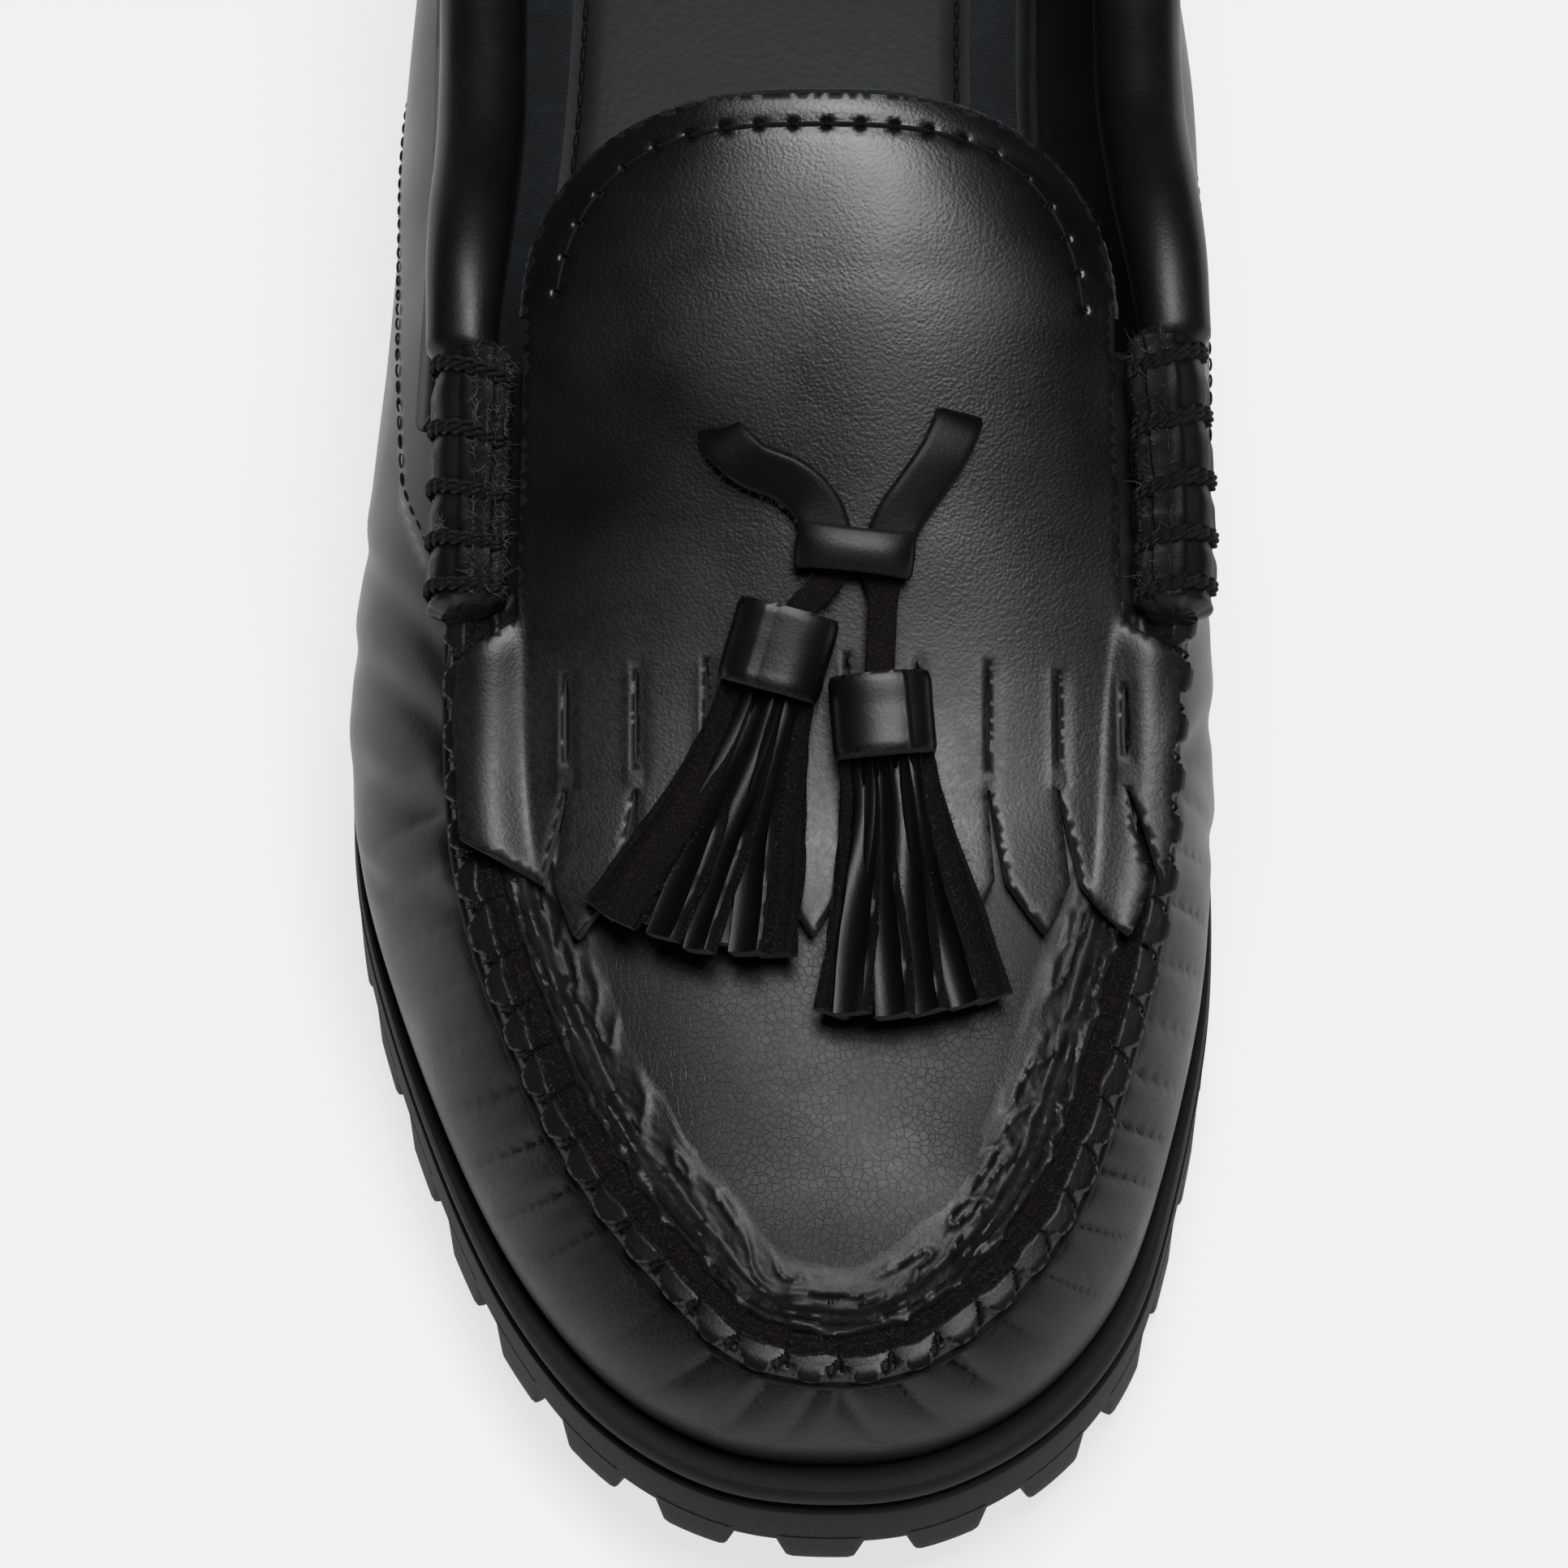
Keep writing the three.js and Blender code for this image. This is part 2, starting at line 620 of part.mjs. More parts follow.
// A flat lace against the side just under the collar.
function collarLace(name, count) {
  const sections = run(...RIM_RUNS[name], count).map((s) => {
    const v = 1 - LACE_DROP / s.rise;
    const half = LACE_WIDTH / 2 / s.rise;
    const lean = -s.inset + 4 * s.belly * (1 - 2 * v);
    const normal = s.out.clone().multiplyScalar(s.rise).addScaledVector(UP, -lean).normalize();
    const corner = (at, height) => sidePoint(s, at).addScaledVector(normal, height);
    return [
      corner(v - half, GAP),
      corner(v + half, GAP),
      corner(v + half, GAP + LACE_THICKNESS),
      corner(v - half, GAP + LACE_THICKNESS),
    ];
  });
  addPart(name, loft(sections), WORN_LEATHER);
}

// A beefroll: an oval roll over the rim that leans outwards, drawn in where the thread is wound.
function beefroll(name) {
  const perWrap = 4;
  const lean = 0.47;
  const endSize = 0.7;
  const sides = 12;
  const count = ROLL_WRAPS * perWrap;
  const sections = run(...RIM_RUNS[name], count).map((s, k) => {
    const drawnIn = (WRAP_RELIEF * (1 + Math.cos((2 * Math.PI * (k + perWrap / 2)) / perWrap))) / 2;
    const end = k === 0 || k === count ? endSize : 1;
    const normal = s.out.clone().multiplyScalar(Math.sin(lean)).addScaledVector(UP, Math.cos(lean));
    const across = s.out.clone().multiplyScalar(Math.cos(lean)).addScaledVector(UP, -Math.sin(lean));
    const high = (ROLL_HEIGHT / 2 - drawnIn) * end;
    const foot = offEdge(s, -s.inset - ROLL_INSET, 0);
    foot.setZ(instep(foot.x, foot.y));
    const middle = foot.addScaledVector(normal, GAP + ROLL_HEIGHT / 2);
    const wide = (ROLL_WIDTH / 2 - drawnIn) * end;
    return oval(middle, across.multiplyScalar(wide), normal.multiplyScalar(high), sides);
  });
  addPart(name, loft(sections), BLACK_LEATHER);
}

// A row of the kiltie, a distance in front of the back of the throat.
const ahead = (distance) => THROAT_BACK - distance;

// Kiltie: a leather sheet that steps up over the ridge of the apron seam, cut in plan to its slots and tabs.
function buildKiltie() {
  const rows = 14;
  const columns = 15;
  const margin = 1;
  const stepUp = 6;
  const stepBack = 8;
  const points = [];
  for (let r = 0; r < rows; r++) {
    const y = mix(ahead(TAB_TIP) - 2 * margin, THROAT_BACK + margin, r / (rows - 1));
    const l = rimAt(rims.lateral, y).x;
    const m = rimAt(rims.medial, y).x;
    for (let c = 0; c < columns; c++) {
      const x = mix(l + margin, m - margin, c / (columns - 1));
      const inside = Math.min(x - l, m - x);
      const onRidge = smooth(Math.min(1, Math.max(0, (2 * RIDGE_WIDTH - inside) / stepUp)));
      const seam = smooth(Math.min(1, Math.max(0, (ahead(flapStart) - y) / stepBack + 1)));
      points.push(overInstep(x, y, KILTIE_CLEAR + (RIDGE_HEIGHT + GAP) * onRidge * seam));
    }
  }
  const sheet = sheetSolid(points, gridFaces(rows, columns, (r, c) => r * columns + c), () => KILTIE, () => 0);
  const cut = new THREE.ExtrudeGeometry(kiltieShape(), { depth: 2 * BACK_RISE, bevelEnabled: false });
  addPart('kiltie', toGeometry(toSolid(sheet).intersect(toSolid(cut))), BLACK_LEATHER);
}

// Places across the kiltie of its slots, which are also those of the cuts between its tabs.
function cutPlaces() {
  const first = rimAt(rims.lateral, ahead(CUT_START)).x + CUTS_LATERAL;
  const last = rimAt(rims.medial, ahead(CUT_START)).x - CUTS_MEDIAL;
  return Array.from({ length: SLOTS }, (_, k) => mix(first, last, k / (SLOTS - 1)));
}

// Outline of the kiltie: the throat's arc, down one flap, along the pointed tabs, and up the other flap.
function kiltieShape() {
  const cuts = cutPlaces();
  const shape = new THREE.Shape();
  const l = (distance) => rimAt(rims.lateral, ahead(distance)).x;
  const m = (distance) => rimAt(rims.medial, ahead(distance)).x;
  const arc = 24;
  for (let k = 0; k <= arc; k++) {
    const turn = Math.PI * (k / arc);
    const across = Math.sign(Math.cos(turn)) * Math.sqrt(Math.abs(Math.cos(turn)));
    const x = throatMiddle + throatHalf * across;
    if (k === 0) shape.moveTo(x, throatY(x));
    else shape.lineTo(x, throatY(x));
  }
  const notch = 4;
  const behindFlap = flapStart - notch;
  shape.lineTo(l(behindFlap) + TONGUE_INSET, ahead(behindFlap));
  shape.lineTo(l(flapStart) + FLAP_INSET, ahead(flapStart));
  shape.lineTo(l(FLAP_EDGE) + FLAP_INSET, ahead(FLAP_EDGE));
  const share = (x) => (x - throatMiddle) / throatHalf;
  const fan = (x, distance) => TAB_FAN * (x - throatMiddle) * ((distance - CUT_START) / (TAB_TIP - CUT_START));
  const bowed = (x, distance, bow) => ahead(distance) + bow * share(x) ** 2;
  const corner = (x, distance, aside) => {
    shape.lineTo(x + fan(x, distance) + aside, bowed(x + aside, distance, CUT_BOW));
  };
  corner(cuts[0], SHOULDER, -SLOT_WIDTH / 2);
  for (let k = 0; k < SLOTS; k++) {
    corner(cuts[k], CUT_START, -SLOT_WIDTH / 4);
    corner(cuts[k], CUT_START, SLOT_WIDTH / 4);
    corner(cuts[k], SHOULDER, SLOT_WIDTH / 2);
    if (k === SLOTS - 1) break;
    corner((cuts[k] + cuts[k + 1]) / 2, TAB_TIP, 0);
    corner(cuts[k + 1], SHOULDER, -SLOT_WIDTH / 2);
  }
  shape.lineTo(m(FLAP_EDGE) - FLAP_INSET, ahead(FLAP_EDGE));
  shape.lineTo(m(flapStart) - FLAP_INSET, ahead(flapStart));
  shape.lineTo(m(behindFlap) - TONGUE_INSET, ahead(behindFlap));
  for (const x of cuts) {
    const slot = new THREE.Path();
    const [near, far] = [x - SLOT_WIDTH / 2, x + SLOT_WIDTH / 2];
    const end = SLOT_START + SLOT_LENGTH;
    slot.moveTo(near, bowed(near, SLOT_START, -CUT_BOW / 2));
    slot.lineTo(far, bowed(far, SLOT_START, -CUT_BOW / 2));
    slot.lineTo(far, bowed(far, end, 1.5 * CUT_BOW));
    slot.lineTo(near, bowed(near, end, 1.5 * CUT_BOW));
    shape.holes.push(slot);
  }
  return shape;
}

// Height over the instep of what lies on the kiltie.
const ON_KILTIE = KILTIE_CLEAR + KILTIE + 2 * GAP;

// The tassel in plan. across is a share of the throat's half width from its middle, down a share of the way
// from the throat to the slots, width a share of the thong's or strand's, and turn the angle from straight
// towards the toe.
const RING = { across: -0.075, down: 0.767, turn: 1.271 };
const THONGS = {
  thong_lateral: [
    { across: -0.389, down: 0.64, width: 1 },
    { across: -0.179, down: 0.711, width: 0.95 },
    { across: 0.006, down: 0.793, width: 0.83 },
  ],
  thong_medial: [
    { across: 0.492, down: 0.612, width: 1 },
    { across: 0.383, down: 0.711, width: 0.95 },
    { across: 0.236, down: 0.8, width: 0.83 },
  ],
};
const TASSELS = {
  lateral: {
    strand: [{ across: 0.052, down: 0.843, width: 1 }, { across: -0.092, down: 0.934, width: 1 }],
    cap: { across: -0.095, down: 0.919, turn: -0.283 },
    fringeTurn: -0.34,
  },
  medial: {
    strand: [{ across: 0.23, down: 0.873, width: 1 }, { across: 0.204, down: 1.055, width: 1 }],
    cap: { across: 0.202, down: 1.041, turn: 0.085 },
    fringeTurn: 0.1,
  },
};

const inPlan = (row) => ({ x: throatMiddle + throatHalf * row.across, y: ahead(SLOT_START * row.down) });
const onward = (from, turn, length) => ({
  x: from.x + Math.sin(turn) * length,
  y: from.y - Math.cos(turn) * length,
});

// A flat strip along points of the plan, each with its width and its lift over the kiltie.
function strip(path, thickness) {
  const middles = path.map((p) => overInstep(p.x, p.y, ON_KILTIE + (p.lift ?? 0)));
  const sections = path.map((p, k) => {
    const before = middles[Math.max(0, k - 1)];
    const after = middles[Math.min(path.length - 1, k + 1)];
    const normal = instepNormal(p.x, p.y);
    const across = after.clone().sub(before).cross(normal).normalize().multiplyScalar(p.width / 2);
    const base = middles[k];
    const top = base.clone().addScaledVector(normal, thickness);
    return [
      base.clone().sub(across),
      base.clone().add(across),
      top.clone().add(across),
      top.clone().sub(across),
    ];
  });
  return toSolid(loft(sections));
}

// A flattened barrel from a place of the plan on; grow makes it larger all round.
function barrel(from, turn, length, width, height, grow = 0) {
  const ends = [0, 0.12, 0.5, 0.88, 1];
  const endSize = 0.9;
  const sides = 12;
  const half = onward(from, turn, length / 2);
  const normal = instepNormal(half.x, half.y);
  const across = new THREE.Vector3(Math.sin(turn), -Math.cos(turn), 0).cross(normal).normalize();
  const sections = ends.map((t) => {
    const at = onward(from, turn, length * t + grow * (2 * t - 1));
    const full = t === 0 || t === 1 ? endSize : 1;
    const wide = across.clone().multiplyScalar((width / 2) * full + grow);
    const high = normal.clone().multiplyScalar((height / 2) * full + grow);
    return oval(overInstep(at.x, at.y, ON_KILTIE + height / 2), wide, high, sides);
  });
  return toSolid(loft(sections));
}

function buildTassel() {
  const ring = (grow) => barrel(inPlan(RING), RING.turn, RING_LENGTH, RING_WIDTH, RING_HEIGHT, grow);
  addPart('tassel_ring', toGeometry(ring(0)), WAXED_THREAD);
  const keepOff = ring(GAP);
  const flat = (rows, width) => {
    const path = rows.map((r) => ({ ...inPlan(r), width: r.width * width }));
    return strip(path, THONG_THICKNESS);
  };
  for (const [name, rows] of Object.entries(THONGS)) {
    addPart(name, toGeometry(flat(rows, THONG_WIDTH).subtract(keepOff)), WORN_LEATHER);
  }
  for (const [side, tassel] of Object.entries(TASSELS)) {
    const { cap, fringeTurn } = tassel;
    const capSolid = (grow) => barrel(inPlan(cap), cap.turn, CAP_LENGTH, CAP_WIDTH, CAP_HEIGHT, grow);
    const strand = flat(tassel.strand, STRAND_WIDTH).subtract(keepOff).subtract(capSolid(GAP));
    const mouth = onward(inPlan(cap), cap.turn, CAP_LENGTH);
    const skirt = fringe(mouth, cap.turn, fringeTurn).subtract(capSolid(GAP));
    addPart(`strand_${side}`, toGeometry(strand), WORN_LEATHER);
    addPart(`tassel_cap_${side}`, toGeometry(capSolid(0)), BLACK_LEATHER);
    addPart(`fringe_${side}`, toGeometry(skirt), WORN_LEATHER);
  }
}

// Cut strips that spread from the end of a cap, fused where they overlap.
function fringe(mouth, capTurn, turn) {
  const shorter = 0.12;
  const bite = 1;
  const strips = [];
  for (let k = 0; k < STRIPS; k++) {
    const side = k / (STRIPS - 1) - 0.5;
    const beside = onward(mouth, capTurn + Math.PI / 2, side * (CAP_WIDTH - STRIP_WIDTH));
    const start = onward(beside, capTurn, -bite);
    const angle = turn + side * FRINGE_FAN;
    const length = FRINGE_LENGTH * (1 - shorter * Math.abs(side));
    const point = (t, width, lift) => ({
      ...onward(start, angle, length * t),
      width: STRIP_WIDTH * width,
      lift: STRIP_LIFT * lift,
    });
    strips.push(strip([point(0, 0.86, 0.4), point(0.5, 0.97, 1), point(1, 1.03, 1)], STRIP_THICKNESS));
  }
  return wasm.Manifold.union(strips);
}

buildOutsole();
buildHeel();
buildInsole();
buildUpper();
buildCollar();
collarLace('collar_lace_lateral', 9);
collarLace('collar_lace_heel', 14);
collarLace('collar_lace_medial', 9);
beefroll('beefroll_lateral');
beefroll('beefroll_medial');
buildKiltie();
buildTassel();

export default group;
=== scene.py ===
"""Kiltie loafer for the right foot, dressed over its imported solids. Metres, +Z up, toe towards -Y."""
from __future__ import annotations

import logging
from collections.abc import Callable, Sequence
from dataclasses import dataclass, field
from enum import Enum
from math import ceil, cos, pi, radians, sin
from typing import Any

import bmesh
import bpy
import numpy as np
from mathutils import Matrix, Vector
from mathutils.geometry import delaunay_2d_cdt

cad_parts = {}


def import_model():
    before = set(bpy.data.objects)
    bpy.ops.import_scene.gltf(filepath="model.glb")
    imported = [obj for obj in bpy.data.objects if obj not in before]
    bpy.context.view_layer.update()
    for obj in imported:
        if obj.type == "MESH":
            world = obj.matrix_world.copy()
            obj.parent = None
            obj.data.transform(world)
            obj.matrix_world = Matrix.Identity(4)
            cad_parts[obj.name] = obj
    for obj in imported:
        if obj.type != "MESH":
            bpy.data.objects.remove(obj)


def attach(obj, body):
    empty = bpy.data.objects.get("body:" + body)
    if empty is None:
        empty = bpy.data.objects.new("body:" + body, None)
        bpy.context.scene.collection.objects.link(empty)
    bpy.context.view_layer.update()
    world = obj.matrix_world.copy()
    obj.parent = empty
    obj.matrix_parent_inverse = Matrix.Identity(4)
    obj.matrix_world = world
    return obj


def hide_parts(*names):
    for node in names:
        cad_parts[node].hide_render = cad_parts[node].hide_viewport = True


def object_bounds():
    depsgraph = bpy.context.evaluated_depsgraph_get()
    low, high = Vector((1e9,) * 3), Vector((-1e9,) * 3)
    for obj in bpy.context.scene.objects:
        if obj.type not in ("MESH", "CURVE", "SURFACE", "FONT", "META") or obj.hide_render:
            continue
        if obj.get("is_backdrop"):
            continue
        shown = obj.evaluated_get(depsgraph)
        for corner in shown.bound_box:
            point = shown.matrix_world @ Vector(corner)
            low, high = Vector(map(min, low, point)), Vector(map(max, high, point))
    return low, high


LOG = logging.getLogger("loafer")
MM = 0.001
UP = np.array((0.0, 0.0, 1.0))
Array = np.ndarray
Value = Array | float
Triple = tuple[Array, Array, Array]
Tree, Socket, Object = bpy.types.NodeTree, bpy.types.NodeSocket, bpy.types.Object
Links = dict[str | int, Any]
Height = Callable[["Ring"], Array]

# Sections of the last from the back of the heel to the tip of the toe, as in the solids. along is a share of
# the sole's length, breadths, insets and bellies of the ball width, seat and tread of the heel seat, rise of
# the back's height, crown of the throat's and welt of the widest.
COLUMNS = ("along", "lateral", "medial", "seat", "tread", "welt", "rise", "crown",
           "inset_lateral", "inset_medial", "belly_lateral", "belly_medial")
SECTIONS = np.array([
    (0.013, 0, 0, 1, 0, 0.95, 1, 1, 0.043, 0.043, 0.029, 0.029),
    (0.030, 0.188, 0.180, 0.995, 0, 0.9, 0.994, 1, 0.043, 0.038, 0.034, 0.034),
    (0.065, 0.298, 0.300, 0.986, 0, 0.7, 0.951, 1, 0.038, 0.024, 0.038, 0.038),
    (0.125, 0.350, 0.350, 0.959, 0, 0.5, 0.874, 1, 0.029, 0.005, 0.048, 0.048),
    (0.250, 0.357, 0.335, 0.890, 0.4, 0.4, 0.806, 1.2, 0.005, -0.058, 0.067, 0.067),
    (0.370, 0.372, 0.331, 0.795, 0.33, 0.38, 0.825, 1.2, 0.014, -0.087, 0.083, 0.1),
    (0.460, 0.410, 0.365, 0.712, 0.24, 0.36, 0.893, 1, 0.054, -0.058, 0.083, 0.1),
    (0.550, 0.462, 0.435, 0.644, 0.096, 0.34, 1, 0.44, 0.092, -0.015, 0.064, 0.063),
    (0.640, 0.500, 0.482, 0.589, 0, 0.3, 0.812, 0.33, 0.121, 0.015, 0.058, 0.03),
    (0.710, 0.497, 0.497, 0.570, 0, 0.3, 0.656, 0.29, 0.115, 0.044, 0.048, 0.025),
    (0.780, 0.447, 0.483, 0.567, 0, 0.4, 0.534, 0.28, 0.087, 0.048, 0.036, 0.026),
    (0.860, 0.362, 0.432, 0.589, 0.016, 0.55, 0.433, 0.27, 0.082, 0.058, 0.034, 0.029),
    (0.915, 0.279, 0.377, 0.616, 0.068, 0.7, 0.386, 0.2, 0.082, 0.063, 0.034, 0.029),
    (0.955, 0.183, 0.288, 0.644, 0.123, 0.85, 0.353, 0.08, 0.077, 0.058, 0.031, 0.027),
    (0.979, 0.067, 0.173, 0.662, 0.164, 0.97, 0.328, 0.01, 0.048, 0.043, 0.023, 0.021),
    (0.9855, -0.058, 0.058, 0.671, 0.178, 1, 0.32, 0, 0.037, 0.037, 0.018, 0.018),
])
TOE = len(SECTIONS) - 1
ROUND = 2 * TOE

# Gap between neighbouring pieces, and thickness of the upper's wall
GAP = 0.3 * MM
WALL = 2 * MM

# Where the trims of the top line start and end, counted in sections from the heel; minus is the inner side.
RIM_RUNS = {
    "collar": (7.17, -7.17),
    "collar_lace_lateral": (7.4, 4.3),
    "collar_lace_heel": (2.7, -2.7),
    "collar_lace_medial": (-4.3, -7.4),
    "beefroll_lateral": (7.2, 8.42),
    "beefroll_medial": (-7.2, -8.42),
}


class Side(Enum):
    """A side of the foot, with its sign along X."""

    LATERAL = -1
    MEDIAL = 1


def mix(a: Value, b: Value, t: Value) -> Value:
    """The value a share t of the way from a to b."""
    return a + (b - a) * t


def ease(t: Value) -> Value:
    """A share from 0 to 1, slowed down at both ends."""
    return t * t * (3 - 2 * t)


def smooth(low: float, high: float, value: Value) -> Value:
    """A soft step from 0 at low to 1 at high."""
    return ease(np.clip((value - low) / (high - low), 0, 1))


def hump(value: Array, middle: float, width: float) -> Array:
    """A bell of height 1 round a middle, of about that half width."""
    return np.exp(-(((value - middle) / width) ** 2))


def wander(value: Array, scale: float, seed: int) -> Array:
    """Smooth seeded noise along one measure.

    Args:
        value: Where the noise is wanted, in any unit.
        scale: Distance from one random value to the next, in the same unit.
        seed: Picks the sequence.

    Returns:
        Values from -1 to 1, one for each place.
    """
    table = np.random.default_rng(seed).uniform(-1, 1, 1024)
    at = np.asarray(value) / scale
    low = np.floor(at).astype(int)
    return mix(table[low % 1024], table[(low + 1) % 1024], ease(at - low))


def wander2(u: Array, v: Array, scale: float, seed: int) -> Array:
    """Smooth seeded noise over two measures, from -1 to 1."""
    table = np.random.default_rng(seed).uniform(-1, 1, (128, 128))
    a, b = np.asarray(u) / scale, np.asarray(v) / scale
    i, j = np.floor(a).astype(int), np.floor(b).astype(int)
    s, t = ease(a - i), ease(b - j)
    i, j, beyond = i % 128, j % 128, (i + 1) % 128
    near, far = (mix(table[i, k], table[beyond, k], s) for k in (j, (j + 1) % 128))
    return mix(near, far, t)


def unit(vectors: Array) -> Array:
    """The same directions with length 1."""
    return vectors / np.maximum(np.linalg.norm(vectors, axis=-1, keepdims=True), 1e-12)


def stack(x: Value, y: Value, z: Value) -> Array:
    """Points from three arrays of coordinates, or numbers, of shapes that fit each other."""
    return np.stack(np.broadcast_arrays(x, y, z), axis=-1).astype(float)


def run_of(points: Array) -> Array:
    """Length along a line from its start, at each of its points."""
    return np.concatenate([[0], np.cumsum(np.linalg.norm(np.diff(points, axis=0), axis=1))])


def along_line(line: Array, run: Array, at: Array) -> Array:
    """Rows of a line at some lengths, from the lengths of its own points."""
    return np.stack([np.interp(at, run, values) for values in line.T], axis=-1)


def full_turn(count: int) -> Array:
    """Even angles all the way round."""
    return np.linspace(0, 2 * pi, count, endpoint=False)


def across_loop(loop: Array, count: int) -> Array:
    """Rows of points that close a loop across, from one half of it to the other."""
    half = len(loop) // 2
    left, right = loop[:half + 1], np.vstack([loop[:1], loop[:half - 1:-1]])
    return mix(left[None], right[None], np.linspace(0, 1, count)[:, None, None])


def sections_of(path: Array, across: Array, up: Array, a: Array, b: Array) -> Array:
    """Sections along a path, from rows of distances across it and up from it."""
    return path[:, None] + across[:, None] * a[..., None] + up[:, None] * b[..., None]


def cubic(rows: Sequence[Array], t: Array) -> tuple[Array, Array]:
    """Value and slope of a smooth curve through four rows, a share t of the way between the middle two."""
    p0, p1, p2, p3 = rows
    m1, m2 = (p2 - p0) / 2, (p3 - p1) / 2
    a = -3 * p1 + 3 * p2 - 2 * m1 - m2
    b = 2 * p1 - 2 * p2 + m1 + m2
    return p1 + m1 * t + a * t**2 + b * t**3, m1 + 2 * a * t + 3 * b * t**2


@dataclass
class Ring:
    """Places round the edge of the last, each measure an array."""

    x: Array
    y: Array
    seat: Array
    inset: Array
    belly: Array
    rise: Array
    tread: Array
    welt: Array
    crown: Array
    out: Array

    def off_edge(self, out: Value, z: Value) -> Array:
        """Points a distance outside the edge, at a height."""
        return stack(self.x + self.out[..., 0] * out, self.y + self.out[..., 1] * out, z)

    def side(self, v: Value) -> Array:
        """Points of the upper's side, v from 0 at the sole to 1 at the rim."""
        bulge = 4 * self.belly * v * (1 - v)
        return self.off_edge(bulge - self.inset * v, self.seat + self.rise * v)

    def side_normal(self, v: Value) -> Array:
        """Directions square to the upper's side."""
        lean = -self.inset + 4 * self.belly * (1 - 2 * v)
        return unit(stack(self.out[:, 0] * self.rise, self.out[:, 1] * self.rise, -lean))


@dataclass
class Last:
    """The last that every piece of the shoe follows, worked out from the shoe's main sizes."""

    sole_length: float = 300 * MM
    ball_width: float = 104 * MM
    heel_seat: float = 36.5 * MM
    back_rise: float = 51.5 * MM
    throat_crown: float = 24 * MM
    welt: float = 4.2 * MM
    throat_at: float = 0.49
    throat_depth: float = 22 * MM
    tongue_inset: float = 8.2 * MM
    rims: dict[Side, tuple[Array, Array]] = field(init=False)

    def __post_init__(self) -> None:
        """Works out the two rims and the throat's place once."""
        self.rims = {}
        for side in Side:
            ring = self.ring(np.linspace(TOE, 0 if side is Side.LATERAL else ROUND, 361))
            rim = ring.side(1.0)
            rim[:, 1] = np.maximum.accumulate(rim[:, 1])
            self.rims[side] = (rim, ring.crown)
        self.throat_back = self.along_y(self.throat_at)
        edge = self.throat_back - self.throat_depth
        low = self.rim(Side.LATERAL, edge)[0] + self.tongue_inset
        high = self.rim(Side.MEDIAL, edge)[0] - self.tongue_inset
        self.throat_middle = float(low + high) / 2
        self.throat_half = float(high - low) / 2

    def along_y(self, share: Value) -> Value:
        """Y of a share of the sole's length from the heel."""
        return self.sole_length * (0.5 - share)

    def ring(self, at: Value) -> Ring:
        """Measures of the last at places round its edge.

        Args:
            at: Places, counted in sections from the heel along the outer side to the toe and back.

        Returns:
            The measures there, interpolated by a closed smooth curve through all sections.
        """
        rows = np.concatenate([SECTIONS, SECTIONS[-2:0:-1]])
        lateral = np.arange(ROUND) <= TOE
        pick = dict(zip(COLUMNS, rows.T))
        table = np.stack([
            self.ball_width * np.where(lateral, -pick["lateral"], pick["medial"]),
            self.along_y(pick["along"]),
            self.heel_seat * pick["seat"],
            self.ball_width * np.where(lateral, pick["inset_lateral"], pick["inset_medial"]),
            self.ball_width * np.where(lateral, pick["belly_lateral"], pick["belly_medial"]),
            self.back_rise * pick["rise"],
            self.heel_seat * pick["tread"],
            self.welt * pick["welt"],
            self.throat_crown * pick["crown"],
        ], axis=1)
        at = np.mod(np.asarray(at, float), ROUND)
        row = np.floor(at).astype(int)
        value, slope = cubic([table[(row + k) % ROUND] for k in (-1, 0, 1, 2)], (at - row)[..., None])
        along = unit(slope[..., :2])
        out = np.stack([along[..., 1], -along[..., 0]], axis=-1)
        value[..., 6] = np.maximum(0, value[..., 6])
        return Ring(*np.moveaxis(value, -1, 0), out)

    def rim(self, side: Side, y: Value) -> Triple:
        """X, z and crown of a side's rim at a y."""
        points, crown = self.rims[side]
        return tuple(np.interp(y, points[:, 1], v) for v in (points[:, 0], points[:, 2], crown))

    def instep(self, x: Array, y: Array) -> Array:
        """Height of the plug and tongue over points of the plan: an arch between the two rims."""
        lx, lz, crown = self.rim(Side.LATERAL, y)
        mx, mz, _ = self.rim(Side.MEDIAL, y)
        half = np.maximum(1 * MM, (mx - lx) / 2)
        across = np.minimum(1, np.abs((x - (lx + mx) / 2) / half))
        t = np.clip((x - lx) / (2 * half), 0, 1)
        return mix(lz, mz, t) + crown * (1 - across**2.4)

    def instep_normal(self, x: Array, y: Array) -> Array:
        """Directions square to the instep."""
        step = 0.8 * MM
        dx = (self.instep(x + step, y) - self.instep(x - step, y)) / (2 * step)
        dy = (self.instep(x, y + step) - self.instep(x, y - step)) / (2 * step)
        return unit(stack(-dx, -dy, 1.0))

    def over_instep(self, x: Array, y: Array, height: Value) -> Array:
        """Points that stand clear of the instep by a height measured square to it."""
        x, y, height = np.broadcast_arrays(x, y, height)
        return stack(x, y, self.instep(x, y)) + self.instep_normal(x, y) * height[..., None]

    def throat_y(self, x: Array) -> Array:
        """Edge of the tongue in plan: furthest back in the middle, and down to the collar's ends."""
        across = np.minimum(1, np.abs((x - self.throat_middle) / self.throat_half))
        return self.throat_back - self.throat_depth * (1 - np.sqrt(1 - across**4))

    def throat_turn(self, turn: Array, inset: float = 0.0) -> tuple[Array, Array]:
        """X and depth below its back of places round the tongue's edge, or of a line inside it."""
        across = np.sign(np.cos(turn)) * np.sqrt(np.abs(np.cos(turn)))
        x = self.throat_middle + (self.throat_half - inset) * across
        return x, self.throat_depth * (1 - np.sqrt(1 - across**4))


